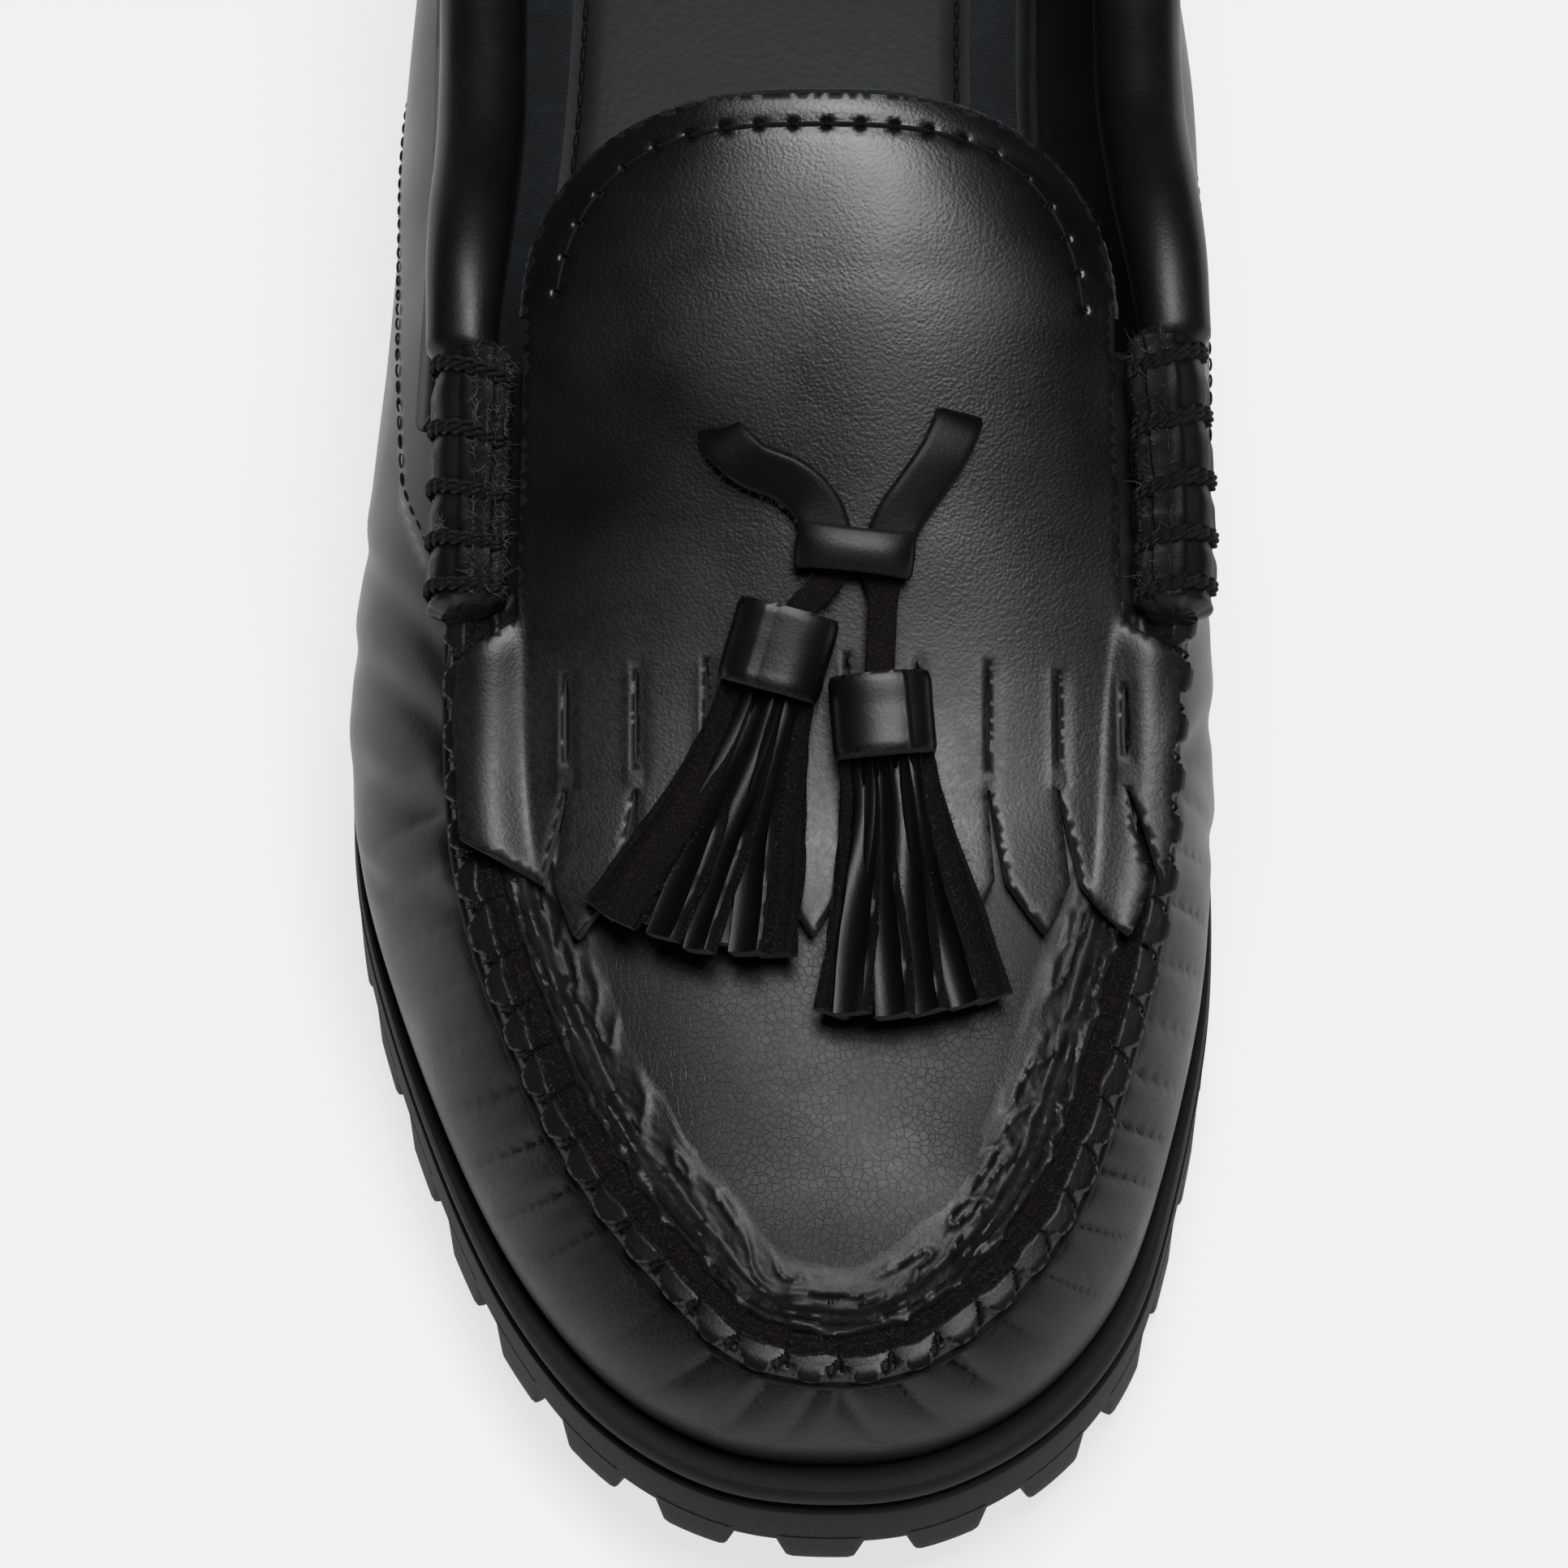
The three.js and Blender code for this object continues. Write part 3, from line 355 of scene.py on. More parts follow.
def corner_normals(points: Array, faces: Array) -> Array:
    """Directions square to a surface at each of its points.

    Args:
        points: The surface's points.
        faces: Rows of three or four point numbers.

    Returns:
        One direction of length 1 for each point.
    """
    corners = points[faces]
    last = corners.shape[1] - 1
    area = np.cross(corners[:, 1] - corners[:, 0], corners[:, last] - corners[:, 0])
    if last == 3:
        area = area + np.cross(corners[:, 3] - corners[:, 2], corners[:, 1] - corners[:, 2])
    normals = np.zeros_like(points)
    for k in range(last + 1):
        np.add.at(normals, faces[:, k], area)
    return unit(normals)


def grid_faces(rows: int, columns: int, endless: bool = False, closed: bool = False) -> Array:
    """Faces of a grid of points that are numbered row by row, closed on itself either way if asked."""
    r = np.arange(rows if endless else rows - 1)[:, None]
    c = np.arange(columns if closed else columns - 1)[None, :]
    below, beside = (r + 1) % rows, (c + 1) % columns
    quads = [r * columns + c, r * columns + beside, below * columns + beside, below * columns + c]
    return np.stack(np.broadcast_arrays(*quads), axis=-1).reshape(-1, 4)


def put(name: str, data: bpy.types.ID) -> Object:
    """Puts a new object into the scene."""
    made = bpy.data.objects.new(name, data)
    bpy.context.scene.collection.objects.link(made)
    return made


class Piece:
    """Points and faces of one piece, gathered before they become a mesh."""

    def __init__(self, name: str) -> None:
        """Starts an empty piece of a name."""
        self.name = name
        self.points: list[Array] = []
        self.marks: dict[str, list[Array]] = {"raw": [], "wear": []}
        self.faces: list[tuple[Array, int]] = []
        self.count = 0

    def add(self, points: Array, faces: Array, finish: int = 0, **marks: Value) -> None:
        """Adds a patch.

        Args:
            points: The patch's points.
            faces: Rows of three or four numbers of those points.
            finish: Which of the piece's finishes the patch has.
            marks: Values from 0 to 1 for each point: raw, a cut edge, and wear.
        """
        points = points.reshape(-1, 3)
        self.points.append(points)
        self.faces.append((faces + self.count, finish))
        self.count += len(points)
        for name, values in self.marks.items():
            values.append(np.broadcast_to(np.asarray(marks.get(name, 0.0), float).reshape(-1), len(points)))

    def add_grid(self, points: Array, finish: int = 0, endless: bool = False, closed: bool = False,
                 **marks: Value) -> None:
        """Adds a patch whose points lie in rows and columns."""
        rows, columns = points.shape[:2]
        marks = {k: np.broadcast_to(v, points.shape[:2]) for k, v in marks.items()}
        self.add(points, grid_faces(rows, columns, endless, closed), finish, **marks)

    def add_tube(self, sections: Array, finish: int = 0, cap_finish: int | None = None,
                 endless: bool = False, **marks: Value) -> None:
        """Adds a closed form through sections of equal size, with its ends filled in.

        Args:
            sections: Points of each section, one row a section.
            finish: Finish of the long sides.
            cap_finish: Finish of the two ends, the same as the sides' if it isn't given.
            endless: Whether the last section joins the first, so that there are no ends.
            marks: As in add.
        """
        self.add_grid(sections, finish, endless, True, **marks)
        if endless:
            return
        columns = sections.shape[1]
        turn = np.arange(columns)
        ring = np.stack([turn, (turn + 1) % columns, np.full(columns, columns)], axis=1)
        for end, step in ((0, -1), (-1, 1)):
            points = np.vstack([sections[end], sections[end].mean(axis=0)])
            self.add(points, ring[:, ::step], finish if cap_finish is None else cap_finish, raw=1.0)

    def build(self, finishes: Sequence[Skin], slot: str, replaces: Sequence[str] = (),
              crease_deg: float = 42, weld: bool = True) -> Object:
        """Makes the mesh and attaches it to the root body.

        Args:
            finishes: Its finishes, in the order of the patches' finish numbers.
            slot: Not used.
            replaces: Names of the solids that the piece stands for.
            crease_deg: Edges that turn more than this stay sharp.
            weld: Whether patches are joined where their points meet.

        Returns:
            The object, riding on the body.
        """
        mesh = bpy.data.meshes.new(self.name)
        corners = [row for faces, _ in self.faces for row in faces.tolist()]
        mesh.from_pydata(np.concatenate(self.points).tolist(), [], corners)
        picks = np.concatenate([np.full(len(faces), finish) for faces, finish in self.faces])
        mesh.polygons.foreach_set("material_index", picks.astype(np.int32))
        for name, values in self.marks.items():
            mark = mesh.attributes.new(name, "FLOAT", "POINT")
            mark.data.foreach_set("value", np.concatenate(values).astype(np.float32))
        shape = bmesh.new()
        shape.from_mesh(mesh)
        if weld:
            bmesh.ops.remove_doubles(shape, verts=shape.verts, dist=0.01 * MM)
        bmesh.ops.recalc_face_normals(shape, faces=shape.faces)
        shape.to_mesh(mesh)
        shape.free()
        mesh.polygons.foreach_set("use_smooth", np.ones(len(mesh.polygons), bool))
        mesh.set_sharp_from_angle(angle=radians(crease_deg))
        for finish in finishes:
            mesh.materials.append(finish.value.made())
        made = put(self.name, mesh)
        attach(made, "root")
        if replaces:
            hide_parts(*replaces)
        LOG.info("%s: %d faces", self.name, len(mesh.polygons))
        return made


def sheet_solid(piece: Piece, points: Array, faces: Array, outer: Value, inner: Value,
                finishes: tuple[int, int, int] = (0, 0, 0), wear: Value = 0.0,
                edge_rows: int = 1) -> Array:
    """Gives a sheet a thickness and adds it to a piece.

    Args:
        piece: Where the solid goes.
        points: The sheet's points.
        faces: Its faces, all turned the same way.
        outer: How far its outer face lies out along the normals.
        inner: How far its inner face lies in.
        finishes: Finishes of the outer face, the inner face and the edges.
        wear: Wear of the outer face's points.
        edge_rows: Rows of faces through the thickness.

    Returns:
        The points of the outer face.
    """
    normals = corner_normals(points, faces)
    top = points + normals * np.broadcast_to(outer, len(points))[:, None]
    bottom = points - normals * np.broadcast_to(inner, len(points))[:, None]
    piece.add(top, faces, finishes[0], wear=wear)
    piece.add(bottom, faces[:, ::-1], finishes[1])
    edges = np.concatenate([np.stack([faces[:, k], faces[:, (k + 1) % faces.shape[1]]], axis=1)
                            for k in range(faces.shape[1])])
    code = edges[:, 0] * (len(points) + 1) + edges[:, 1]
    back = edges[:, 1] * (len(points) + 1) + edges[:, 0]
    rim = edges[~np.isin(code, back)]
    shares = np.linspace(0, 1, edge_rows + 1)
    for near, far in zip(shares[:-1], shares[1:]):
        places = ((1, near), (0, near), (0, far), (1, far))
        wall = [mix(top[rim[:, end]], bottom[rim[:, end]], share) for end, share in places]
        corners = np.stack(wall, axis=1).reshape(-1, 3)
        piece.add(corners, np.arange(len(corners)).reshape(-1, 4), finishes[2], raw=1.0)
    return top


def turned(faces: Array, points: Array, towards: Array | None = UP) -> Array:
    """The faces, all turned over if most of them look away from a direction, or inwards if there is none."""
    corners = points[faces]
    area = np.cross(corners[:, 1] - corners[:, 0], corners[:, 2] - corners[:, 0])
    outwards = corners.mean(axis=1) * (1, 1, 0) if towards is None else towards
    return faces if float((area * outwards).sum()) > 0 else faces[:, ::-1]


def path_frames(path: Array, normals: Array) -> tuple[Array, Array]:
    """Directions across a path and square to it, from rough normals."""
    along = unit(np.gradient(path, axis=0))
    across = unit(np.cross(along, normals))
    return across, unit(np.cross(across, along))


def smooth_path(points: Array, count: int) -> Array:
    """An open smooth curve through a few chosen points, as evenly numbered places."""
    padded = np.vstack([2 * points[0] - points[1], points, 2 * points[-1] - points[-2]])
    at = np.linspace(0, len(points) - 1, count)
    k = np.minimum(at.astype(int), len(points) - 2)
    return cubic([padded[k + i] for i in range(4)], (at - k)[:, None])[0]


def oval_turns(count: int, squareness: float = 2.0) -> tuple[Array, Array]:
    """Shares across and up of a section's points, from an oval at 2 to nearly a rectangle above."""
    turn = full_turn(count)
    power = 2 / squareness
    across = np.sign(np.cos(turn)) * np.abs(np.cos(turn)) ** power
    up = np.sign(np.sin(turn)) * np.abs(np.sin(turn)) ** power
    return across, up


def tube_sections(path: Array, across: Array, up: Array, wide: Value, high: Value,
                  count: int = 16, squareness: float = 2.0) -> Array:
    """Sections along a path, half as wide and high as given on each side of it."""
    a, b = oval_turns(count, squareness)
    wide, high = (np.broadcast_to(size, len(path))[:, None] for size in (wide, high))
    return sections_of(path, across, up, a * wide, b * high)


def add_thread(piece: Piece, path: Array, radius: float) -> None:
    """Adds a round thread of a radius along a path."""
    start = unit(np.gradient(path, axis=0))[0]
    away = UP if abs(start[2]) < 0.9 else np.array((1.0, 0.0, 0.0))
    across, up = path_frames(path, np.broadcast_to(away, path.shape))
    piece.add_tube(tube_sections(path, across, up, radius, radius, 6))


def to_linear(colour: int) -> tuple[float, float, float, float]:
    """An sRGB hex colour as the linear one that shaders take."""
    parts = [((colour >> shift) & 255) / 255 for shift in (16, 8, 0)]
    return (*(c / 12.92 if c <= 0.04045 else ((c + 0.055) / 1.055) ** 2.4 for c in parts), 1.0)


def add_node(tree: Tree, kind: str, links: Links | None = None, mm: float = 0.0, out: str = "",
             **settings: object) -> Socket | None:
    """Adds a node.

    Args:
        tree: The material's tree.
        kind: The node's type, without the word that they all start with.
        links: For each input's name or number, the socket that feeds it or its fixed value.
        mm: Size of a pattern's features in millimetres, laid in the shoe's own frame.
        out: Name of the output that is wanted, the first one in use if none is given.
        settings: Properties of the node itself.

    Returns:
        The node's output, or none where it has no output.
    """
    made = tree.nodes.new("ShaderNode" + kind)
    for name, value in settings.items():
        setattr(made, name, value)
    if mm:
        links = {"Vector": tree.nodes["Place"].outputs["Object"], "Scale": 1 / (mm * MM), **(links or {})}
    for socket, source in (links or {}).items():
        if isinstance(source, Socket):
            tree.links.new(source, made.inputs[socket])
        else:
            made.inputs[socket].default_value = source
    return made.outputs[out] if out else next((found for found in made.outputs if found.enabled), None)


@dataclass(frozen=True)
class Finish:
    """A surface: what it is made of, its colours as sRGB hex and the real sizes of its relief."""

    name: str
    base: int
    second: int
    roughness: float
    specular: float = 0.5

    def made(self) -> bpy.types.Material:
        """The material, made the first time that a piece needs it."""
        if self.name in bpy.data.materials:
            return bpy.data.materials[self.name]
        material = bpy.data.materials.new(self.name)
        material.use_nodes = True
        material.diffuse_color = to_linear(self.base)
        tree = material.node_tree
        tree.nodes.clear()
        add_node(tree, "TexCoord", name="Place")
        surface = add_node(tree, "BsdfPrincipled", {"Specular IOR Level": self.specular, **self.dress(tree)})
        add_node(tree, "OutputMaterial", {"Surface": surface})
        return material

    def tones(self) -> Links:
        """The two colours, as inputs of a mixing node."""
        return {6: to_linear(self.base), 7: to_linear(self.second)}

    def dress(self, tree: Tree) -> Links:
        """What feeds the shader; each kind of finish has its own way."""
        raise NotImplementedError


@dataclass(frozen=True)
class SmoothLeather(Finish):
    """Aniline dyed calf, tanned smooth and glazed: a soft sheen over fine pebbles, dull where it is scuffed.

    Cut edges and gathered parts are marked on the mesh, and show the fuzzy brown split.
    """

    pebble_mm: float = 0.42
    pebble_depth_mm: float = 0.014
    crackle_depth_mm: float = 0.0
    crackle_mm: float = 1.5
    fuzz_mm: float = 0.35
    coat: float = 0.1
    scuffed: int = 0x1E1E20
    raw_colour: int = 0x191716
    raw_fleck: int = 0x37312D

    def dress(self, tree: Tree) -> Links:
        """Colour, gloss and relief."""
        raw = add_node(tree, "Attribute", out="Fac", attribute_name="raw")
        wear = add_node(tree, "Attribute", out="Fac", attribute_name="wear")
        cloudy = add_node(tree, "TexNoise", {"Detail": 4.0}, mm=14)
        dust = add_node(tree, "TexNoise", {"Detail": 6.0}, mm=0.9)
        fibre = add_node(tree, "TexNoise", {"Detail": 3.0, "Roughness": 0.7}, mm=self.fuzz_mm)
        flecks = add_node(tree, "MapRange", {"Value": fibre, "From Min": 0.5, "From Max": 0.72})
        tone = add_node(tree, "Mix", {0: cloudy, **self.tones()}, data_type="RGBA")
        scuff = add_node(tree, "Math", {0: wear, 1: dust}, operation="MULTIPLY")
        worn = add_node(tree, "Mix", {0: scuff, 6: tone, 7: to_linear(self.scuffed)}, data_type="RGBA")
        split = add_node(tree, "Mix", {
            0: flecks, 6: to_linear(self.raw_colour), 7: to_linear(self.raw_fleck)}, data_type="RGBA")
        gloss = add_node(tree, "MapRange", {
            "Value": cloudy, "From Min": 0.3, "From Max": 0.7,
            "To Min": self.roughness - 0.05, "To Max": self.roughness + 0.07})
        dulled = add_node(tree, "Math", {0: scuff, 1: 0.25, 2: gloss}, operation="MULTIPLY_ADD")
        return {
            "Base Color": add_node(tree, "Mix", {0: raw, 6: worn, 7: split}, data_type="RGBA"),
            "Roughness": add_node(tree, "Mix", {0: raw, 2: dulled, 3: 0.95}),
            "Specular IOR Level": add_node(tree, "Mix", {0: raw, 2: self.specular, 3: 0.12}),
            "Coat Weight": add_node(tree, "Mix", {0: raw, 2: self.coat, 3: 0.0}),
            "Coat Roughness": 0.28,
            "Normal": self.relief(tree, raw, wear, fibre),
        }

    def relief(self, tree: Tree, raw: Socket, wear: Socket, fibre: Socket) -> Socket:
        """Pebbles, a net of fine crackles where it is worn, and fuzz on cut edges, as one normal.

        Args:
            tree: The material's tree.
            raw: Mark of cut edges.
            wear: Mark of wear.
            fibre: Noise of the fuzz.

        Returns:
            The normal.
        """
        warp = add_node(tree, "TexNoise", {"Detail": 2.0}, mm=1.6, out="Color")
        bent = add_node(tree, "VectorMath", {
            0: warp, 1: (0.5 * MM,) * 3, 2: tree.nodes["Place"].outputs["Object"]}, operation="MULTIPLY_ADD")
        pebbles = add_node(tree, "TexVoronoi", {"Vector": bent}, mm=self.pebble_mm, feature="SMOOTH_F1")
        normal = add_node(tree, "Bump", {"Height": pebbles, "Distance": self.pebble_depth_mm * MM},
                          invert=True)
        if self.crackle_depth_mm:
            cells = add_node(tree, "TexVoronoi", {"Vector": bent}, mm=self.crackle_mm,
                             feature="DISTANCE_TO_EDGE")
            lines = add_node(tree, "MapRange", {"Value": cells, "From Max": 0.07})
            patchy = add_node(tree, "TexNoise", {"Detail": 2.0}, mm=9)
            where = add_node(tree, "Math", {0: wear, 1: patchy}, operation="MULTIPLY")
            deep = add_node(tree, "Math", {0: where, 1: self.crackle_depth_mm * MM}, operation="MULTIPLY")
            normal = add_node(tree, "Bump", {"Height": lines, "Distance": deep, "Normal": normal})
        return add_node(tree, "Bump", {
            "Height": fibre, "Strength": raw, "Distance": self.fuzz_mm * MM, "Normal": normal})


@dataclass(frozen=True)
class RawSplit(Finish):
    """The cut or split side of leather: brushed fibres, nearly without gloss, dark with brown flecks."""

    fibre_mm: float = 0.35
    depth_mm: float = 0.3
    sheen: float = 0.35

    def dress(self, tree: Tree) -> Links:
        """Colour, gloss and relief."""
        fibre = add_node(tree, "TexNoise", {"Detail": 4.0, "Roughness": 0.75}, mm=self.fibre_mm)
        clumps = add_node(tree, "TexNoise", {"Detail": 3.0}, mm=2.5)
        both = add_node(tree, "Math", {0: fibre, 1: clumps}, operation="MULTIPLY")
        flecks = add_node(tree, "MapRange", {"Value": both, "From Min": 0.22, "From Max": 0.42})
        return {
            "Base Color": add_node(tree, "Mix", {0: flecks, **self.tones()}, data_type="RGBA"),
            "Roughness": self.roughness,
            "Sheen Weight": self.sheen,
            "Sheen Roughness": 0.5,
            "Normal": add_node(tree, "Bump", {"Height": fibre, "Distance": self.depth_mm * MM}),
        }


@dataclass(frozen=True)
class MouldedRubber(Finish):
    """Black rubber out of a blasted mould: matt, very finely pitted, with a cloudy dusty tone."""

    # The blasted mould's grit is near 0.1 mm, too fine to show, so its pits are drawn five times as coarse.
    pit_mm: float = 0.5
    pit_depth_mm: float = 0.03

    def dress(self, tree: Tree) -> Links:
        """Colour, gloss and relief."""
        cloudy = add_node(tree, "TexNoise", {"Detail": 6.0}, mm=9)
        pits = add_node(tree, "TexNoise", {"Detail": 3.0}, mm=self.pit_mm)
        return {
            "Base Color": add_node(tree, "Mix", {0: cloudy, **self.tones()}, data_type="RGBA"),
            "Roughness": add_node(tree, "MapRange", {
                "Value": pits, "To Min": self.roughness - 0.1, "To Max": self.roughness + 0.08}),
            "Normal": add_node(tree, "Bump", {"Height": pits, "Distance": self.pit_depth_mm * MM}),
        }


@dataclass(frozen=True)
class WaxedThread(Finish):
    """Twisted polyester thread drawn through wax: fine ribs with a dull glint."""

    # A ply's own fibres are too fine to show, so they are drawn about ten times as coarse.
    ply_mm: float = 0.25

    def dress(self, tree: Tree) -> Links:
        """Colour, gloss and relief."""
        strands = add_node(tree, "TexNoise", {"Detail": 3.0, "Distortion": 1.0}, mm=self.ply_mm)
        return {
            "Base Color": add_node(tree, "Mix", {0: strands, **self.tones()}, data_type="RGBA"),
            "Roughness": self.roughness,
            "Normal": add_node(tree, "Bump", {"Height": strands, "Distance": 0.1 * MM}),
        }


class Skin(Enum):
    """Every finish of the shoe."""

    CALF = SmoothLeather("glazed_calf", 0x0A0A0B, 0x101011, 0.34, 0.42,
                         crackle_depth_mm=0.035, crackle_mm=0.95)
    KILTIE = SmoothLeather("pebbled_calf", 0x08080A, 0x0D0D0F, 0.27, pebble_mm=0.4, pebble_depth_mm=0.023)
    STRIP = SmoothLeather("cut_strip_calf", 0x090909, 0x0E0D0D, 0.36, 0.34, coat=0.0)
    SPLIT = RawSplit("brushed_split", 0x161312, 0x322C28, 0.95, 0.15)
    LINING = SmoothLeather("glazed_lining", 0x15171A, 0x1C1F22, 0.55, coat=0.0)
    SOCK = SmoothLeather("dyed_sock_leather", 0x17181A, 0x202123, 0.5, coat=0.05, pebble_mm=0.9,
                         pebble_depth_mm=0.03)
    TEAL_SPLIT = RawSplit("dyed_split", 0x0B1317, 0x1B2A30, 0.9, 0.25)
    RUBBER = MouldedRubber("moulded_rubber", 0x161617, 0x1F1F20, 0.72, 0.35)
    THREAD = WaxedThread("waxed_thread", 0x0B0A0A, 0x181614, 0.6, 0.25)
    PALE_FLUFF = RawSplit("pale_filler", 0x55514E, 0xA8A29C, 0.95, 0.2)


@dataclass
class Sole:
    """The rubber unit: a plate with its bead, groove and line, and deep lugs all round below it."""

    last: Last
    plate: float = 12.5 * MM
    lug_pitch: float = 16 * MM
    notch: float = 4.4 * MM
    flare: float = 1.6 * MM
    reach: float = 12 * MM
    channel: float = 4 * MM
    heel_lugs: float = 7.5 * MM
    waist_at: float = 0.387
    breast_at: float = 0.293
    edge_round: float = 0.7 * MM

    # Side of the plate from the upper's edge down: out as a share of the welt, drop as a share of the plate.
    PROFILE = ((-0.6, 0.03), (0.15, 0.0), (0.35, -0.025), (0.6, -0.035), (0.82, -0.02), (0.95, 0.03),
               (1.0, 0.1), (0.97, 0.17), (0.84, 0.22), (0.66, 0.245), (0.62, 0.262), (0.7, 0.285),
               (0.96, 0.295), (1.06, 0.31), (1.08, 0.325), (1.03, 0.345), (0.9, 0.36), (0.86, 0.385),
               (0.88, 0.42), (0.97, 0.95), (0.96, 1.0), (0.5, 1.02), (-0.6, 1.02))

    def __post_init__(self) -> None:
        """Measures the sole's edge once, by its real length."""
        at = np.linspace(0, ROUND, 1441)
        ring = self.last.ring(at)
        edge = ring.off_edge(ring.welt, 0.0)
        run = run_of(edge)
        self.total = float(run[-1])
        self.count = round(self.total / self.lug_pitch)
        self.run_at = lambda length: np.interp(np.mod(length, self.total), run, at)

    def under(self, ring: Ring) -> Array:
        """Height of the plate's underside."""
        return ring.seat - GAP - self.plate

    def add_plate(self, piece: Piece) -> None:
        """The plate, from its top edge round its side to its underside, closed across by rows of faces."""
        ring = self.last.ring(np.linspace(0, ROUND, 720, endpoint=False))
        top = ring.seat - GAP
        rows = [ring.off_edge(ring.welt * out, top - self.plate * drop) for out, drop in self.PROFILE]
        piece.add_grid(np.stack(rows), closed=True)
        for row in (rows[0], rows[-1]):
            piece.add_grid(across_loop(row, 5))

    def add_lug(self, piece: Piece, start: float, end: float, top: Height,
                low: Height) -> None:
        """One edge lug, wider at its root than at the ground.

        Args:
            piece: Where it goes.
            start: Where it starts along the sole's edge at its root.
            end: Where it ends.
            top: Height of its root.
            low: Height of the ground under it.
        """
        r = self.edge_round / self.reach
        section = np.array([(0, 0), (0, 0.5), (0, 0.86), (r * 0.3, 0.96), (r, 1), (0.5, 1), (1 - r, 1),
                            (1 - 0.3 * r, 0.95), (1, 0.86), (1, 0.4), (1, 0), (0.5, -0.05)])
        depth, inward = np.clip(section[:, 1], 0, 1), section[:, 0]
        length = end - start
        shares = np.array([0, 0.03, 0.1, 0.3, 0.5, 0.7, 0.9, 0.97, 1.0])
        tuck = np.array([0.5, 0.15, 0, 0, 0, 0, 0, 0.15, 0.5]) * self.edge_round
        along = start + self.flare * depth + (length - 2 * self.flare * depth) * shares[:, None]
        ring = self.last.ring(self.run_at(along))
        out = ring.welt * mix(0.99, 0.96, depth) - tuck[:, None] * (inward < 0.5)
        out = out - (self.reach - tuck[:, None]) * inward
        z = mix(top(ring), low(ring) + tuck[:, None] * depth, section[:, 1])
        piece.add_tube(ring.off_edge(out, z))

    def add_lugs(self, piece: Piece, where: Callable[[float], bool], top: Height,
                 low: Height) -> None:
        """A row of edge lugs at an even pitch, wherever the test of their y holds."""
        pitch = self.total / self.count
        for k in range(self.count):
            start, end = (k + 0.5) * pitch + self.notch / 2, (k + 1.5) * pitch - self.notch / 2
            y = self.last.ring(self.run_at(np.array([start, end]))).y
            if where(float(y[0])) and where(float(y[1])):
                self.add_lug(piece, start, end, top, low)

    def add_bars(self, piece: Piece, y_from: float, y_to: float, top: Height,
                 low: Height) -> None:
        """Bent cross bars inside the edge lugs, with grooves between them.

        Args:
            piece: Where they go.
            y_from: Y where they start.
            y_to: Y where they end.
            top: Height of their roots.
            low: Height of the ground under them.
        """
        inner = self.reach + self.channel
        fine = self.last.ring(np.linspace(0, ROUND, 721))
        line = fine.off_edge(fine.welt - inner, 0.0)
        pitch, groove, bend = 13 * MM, 3.2 * MM, 5 * MM
        sides = (line[:361], line[:359:-1])
        order = [np.argsort(s[:, 1]) for s in sides]
        near = np.argsort(fine.y[:361])
        for y in np.arange(y_from + pitch / 2, y_to - pitch / 2, pitch):
            ends = [np.interp((y - pitch, y + pitch), s[o, 1], s[o, 0]) for s, o in zip(sides, order)]
            left, right = float(ends[0].max()), float(ends[1].min())
            if right - left < pitch or y < line[:, 1].min() + pitch:
                continue
            across = np.linspace(left, right, 13)
            bow = y - bend * (1 - np.abs(2 * (across - left) / (right - left) - 1))
            half = (pitch - groove) / 2
            root, ground = (np.interp(bow, fine.y[near], level(fine)[near]) for level in (top, low))
            e = self.edge_round
            shape = ((-half, 0), (-half, 0.85), (-half + e, 1), (half - e, 1), (half, 0.85), (half, 0))
            sections = [stack(across, bow + dy, mix(root, ground, q)) for dy, q in shape]
            piece.add_tube(np.stack(sections, axis=1))

    def build(self) -> None:
        """Builds the outsole and the heel."""
        waist, breast = self.last.along_y(self.waist_at), self.last.along_y(self.breast_at)
        outsole = Piece("outsole_unit")
        self.add_plate(outsole)
        root = lambda ring: self.under(ring) + 1 * MM
        ground = lambda ring: np.minimum(ring.tread, self.under(ring))
        self.add_lugs(outsole, lambda y: y < waist, root, ground)
        self.add_bars(outsole, float(self.last.along_y(SECTIONS[-1, 0])), waist, root, ground)
        outsole.build([Skin.RUBBER], "rubber", ["outsole"], crease_deg=35)

        heel = Piece("heel_block")
        fine = self.last.ring(np.linspace(0, ROUND, 1441))
        edge = fine.off_edge(fine.welt * 0.96, 0.0)
        keep = edge[:, 1] > breast
        order = np.concatenate([np.flatnonzero(keep[720:]) + 720, np.flatnonzero(keep[1:720]) + 1])
        levels = ((0.97, 0.0), (1.0, 0.02), (0.995, 0.5), (0.98, 0.97), (0.9, 1.0))
        rows = []
        for share, drop in levels:
            ring = fine.off_edge(fine.welt * 0.98 - (1 - share) * 12 * MM, 0.0)[order]
            top = (self.under(fine) - GAP)[order]
            ring[:, 2] = mix(top, self.heel_lugs, drop)
            front = mix(ring[-1], ring[0], np.linspace(0, 1, 14)[1:-1, None])
            front[:, 1] = breast + (1 - share) * 12 * MM
            rows.append(np.vstack([ring, front]))
        heel.add_tube(np.stack(rows))
        root = lambda ring: ring.tread * 0 + self.heel_lugs + 0.5 * MM
        ground = lambda ring: ring.tread * 0
        self.add_lugs(heel, lambda y: y > breast, root, ground)
        self.add_bars(heel, breast, float(self.last.along_y(SECTIONS[0, 0])), root, ground)
        heel.build([Skin.RUBBER], "rubber", ["heel"], crease_deg=35)


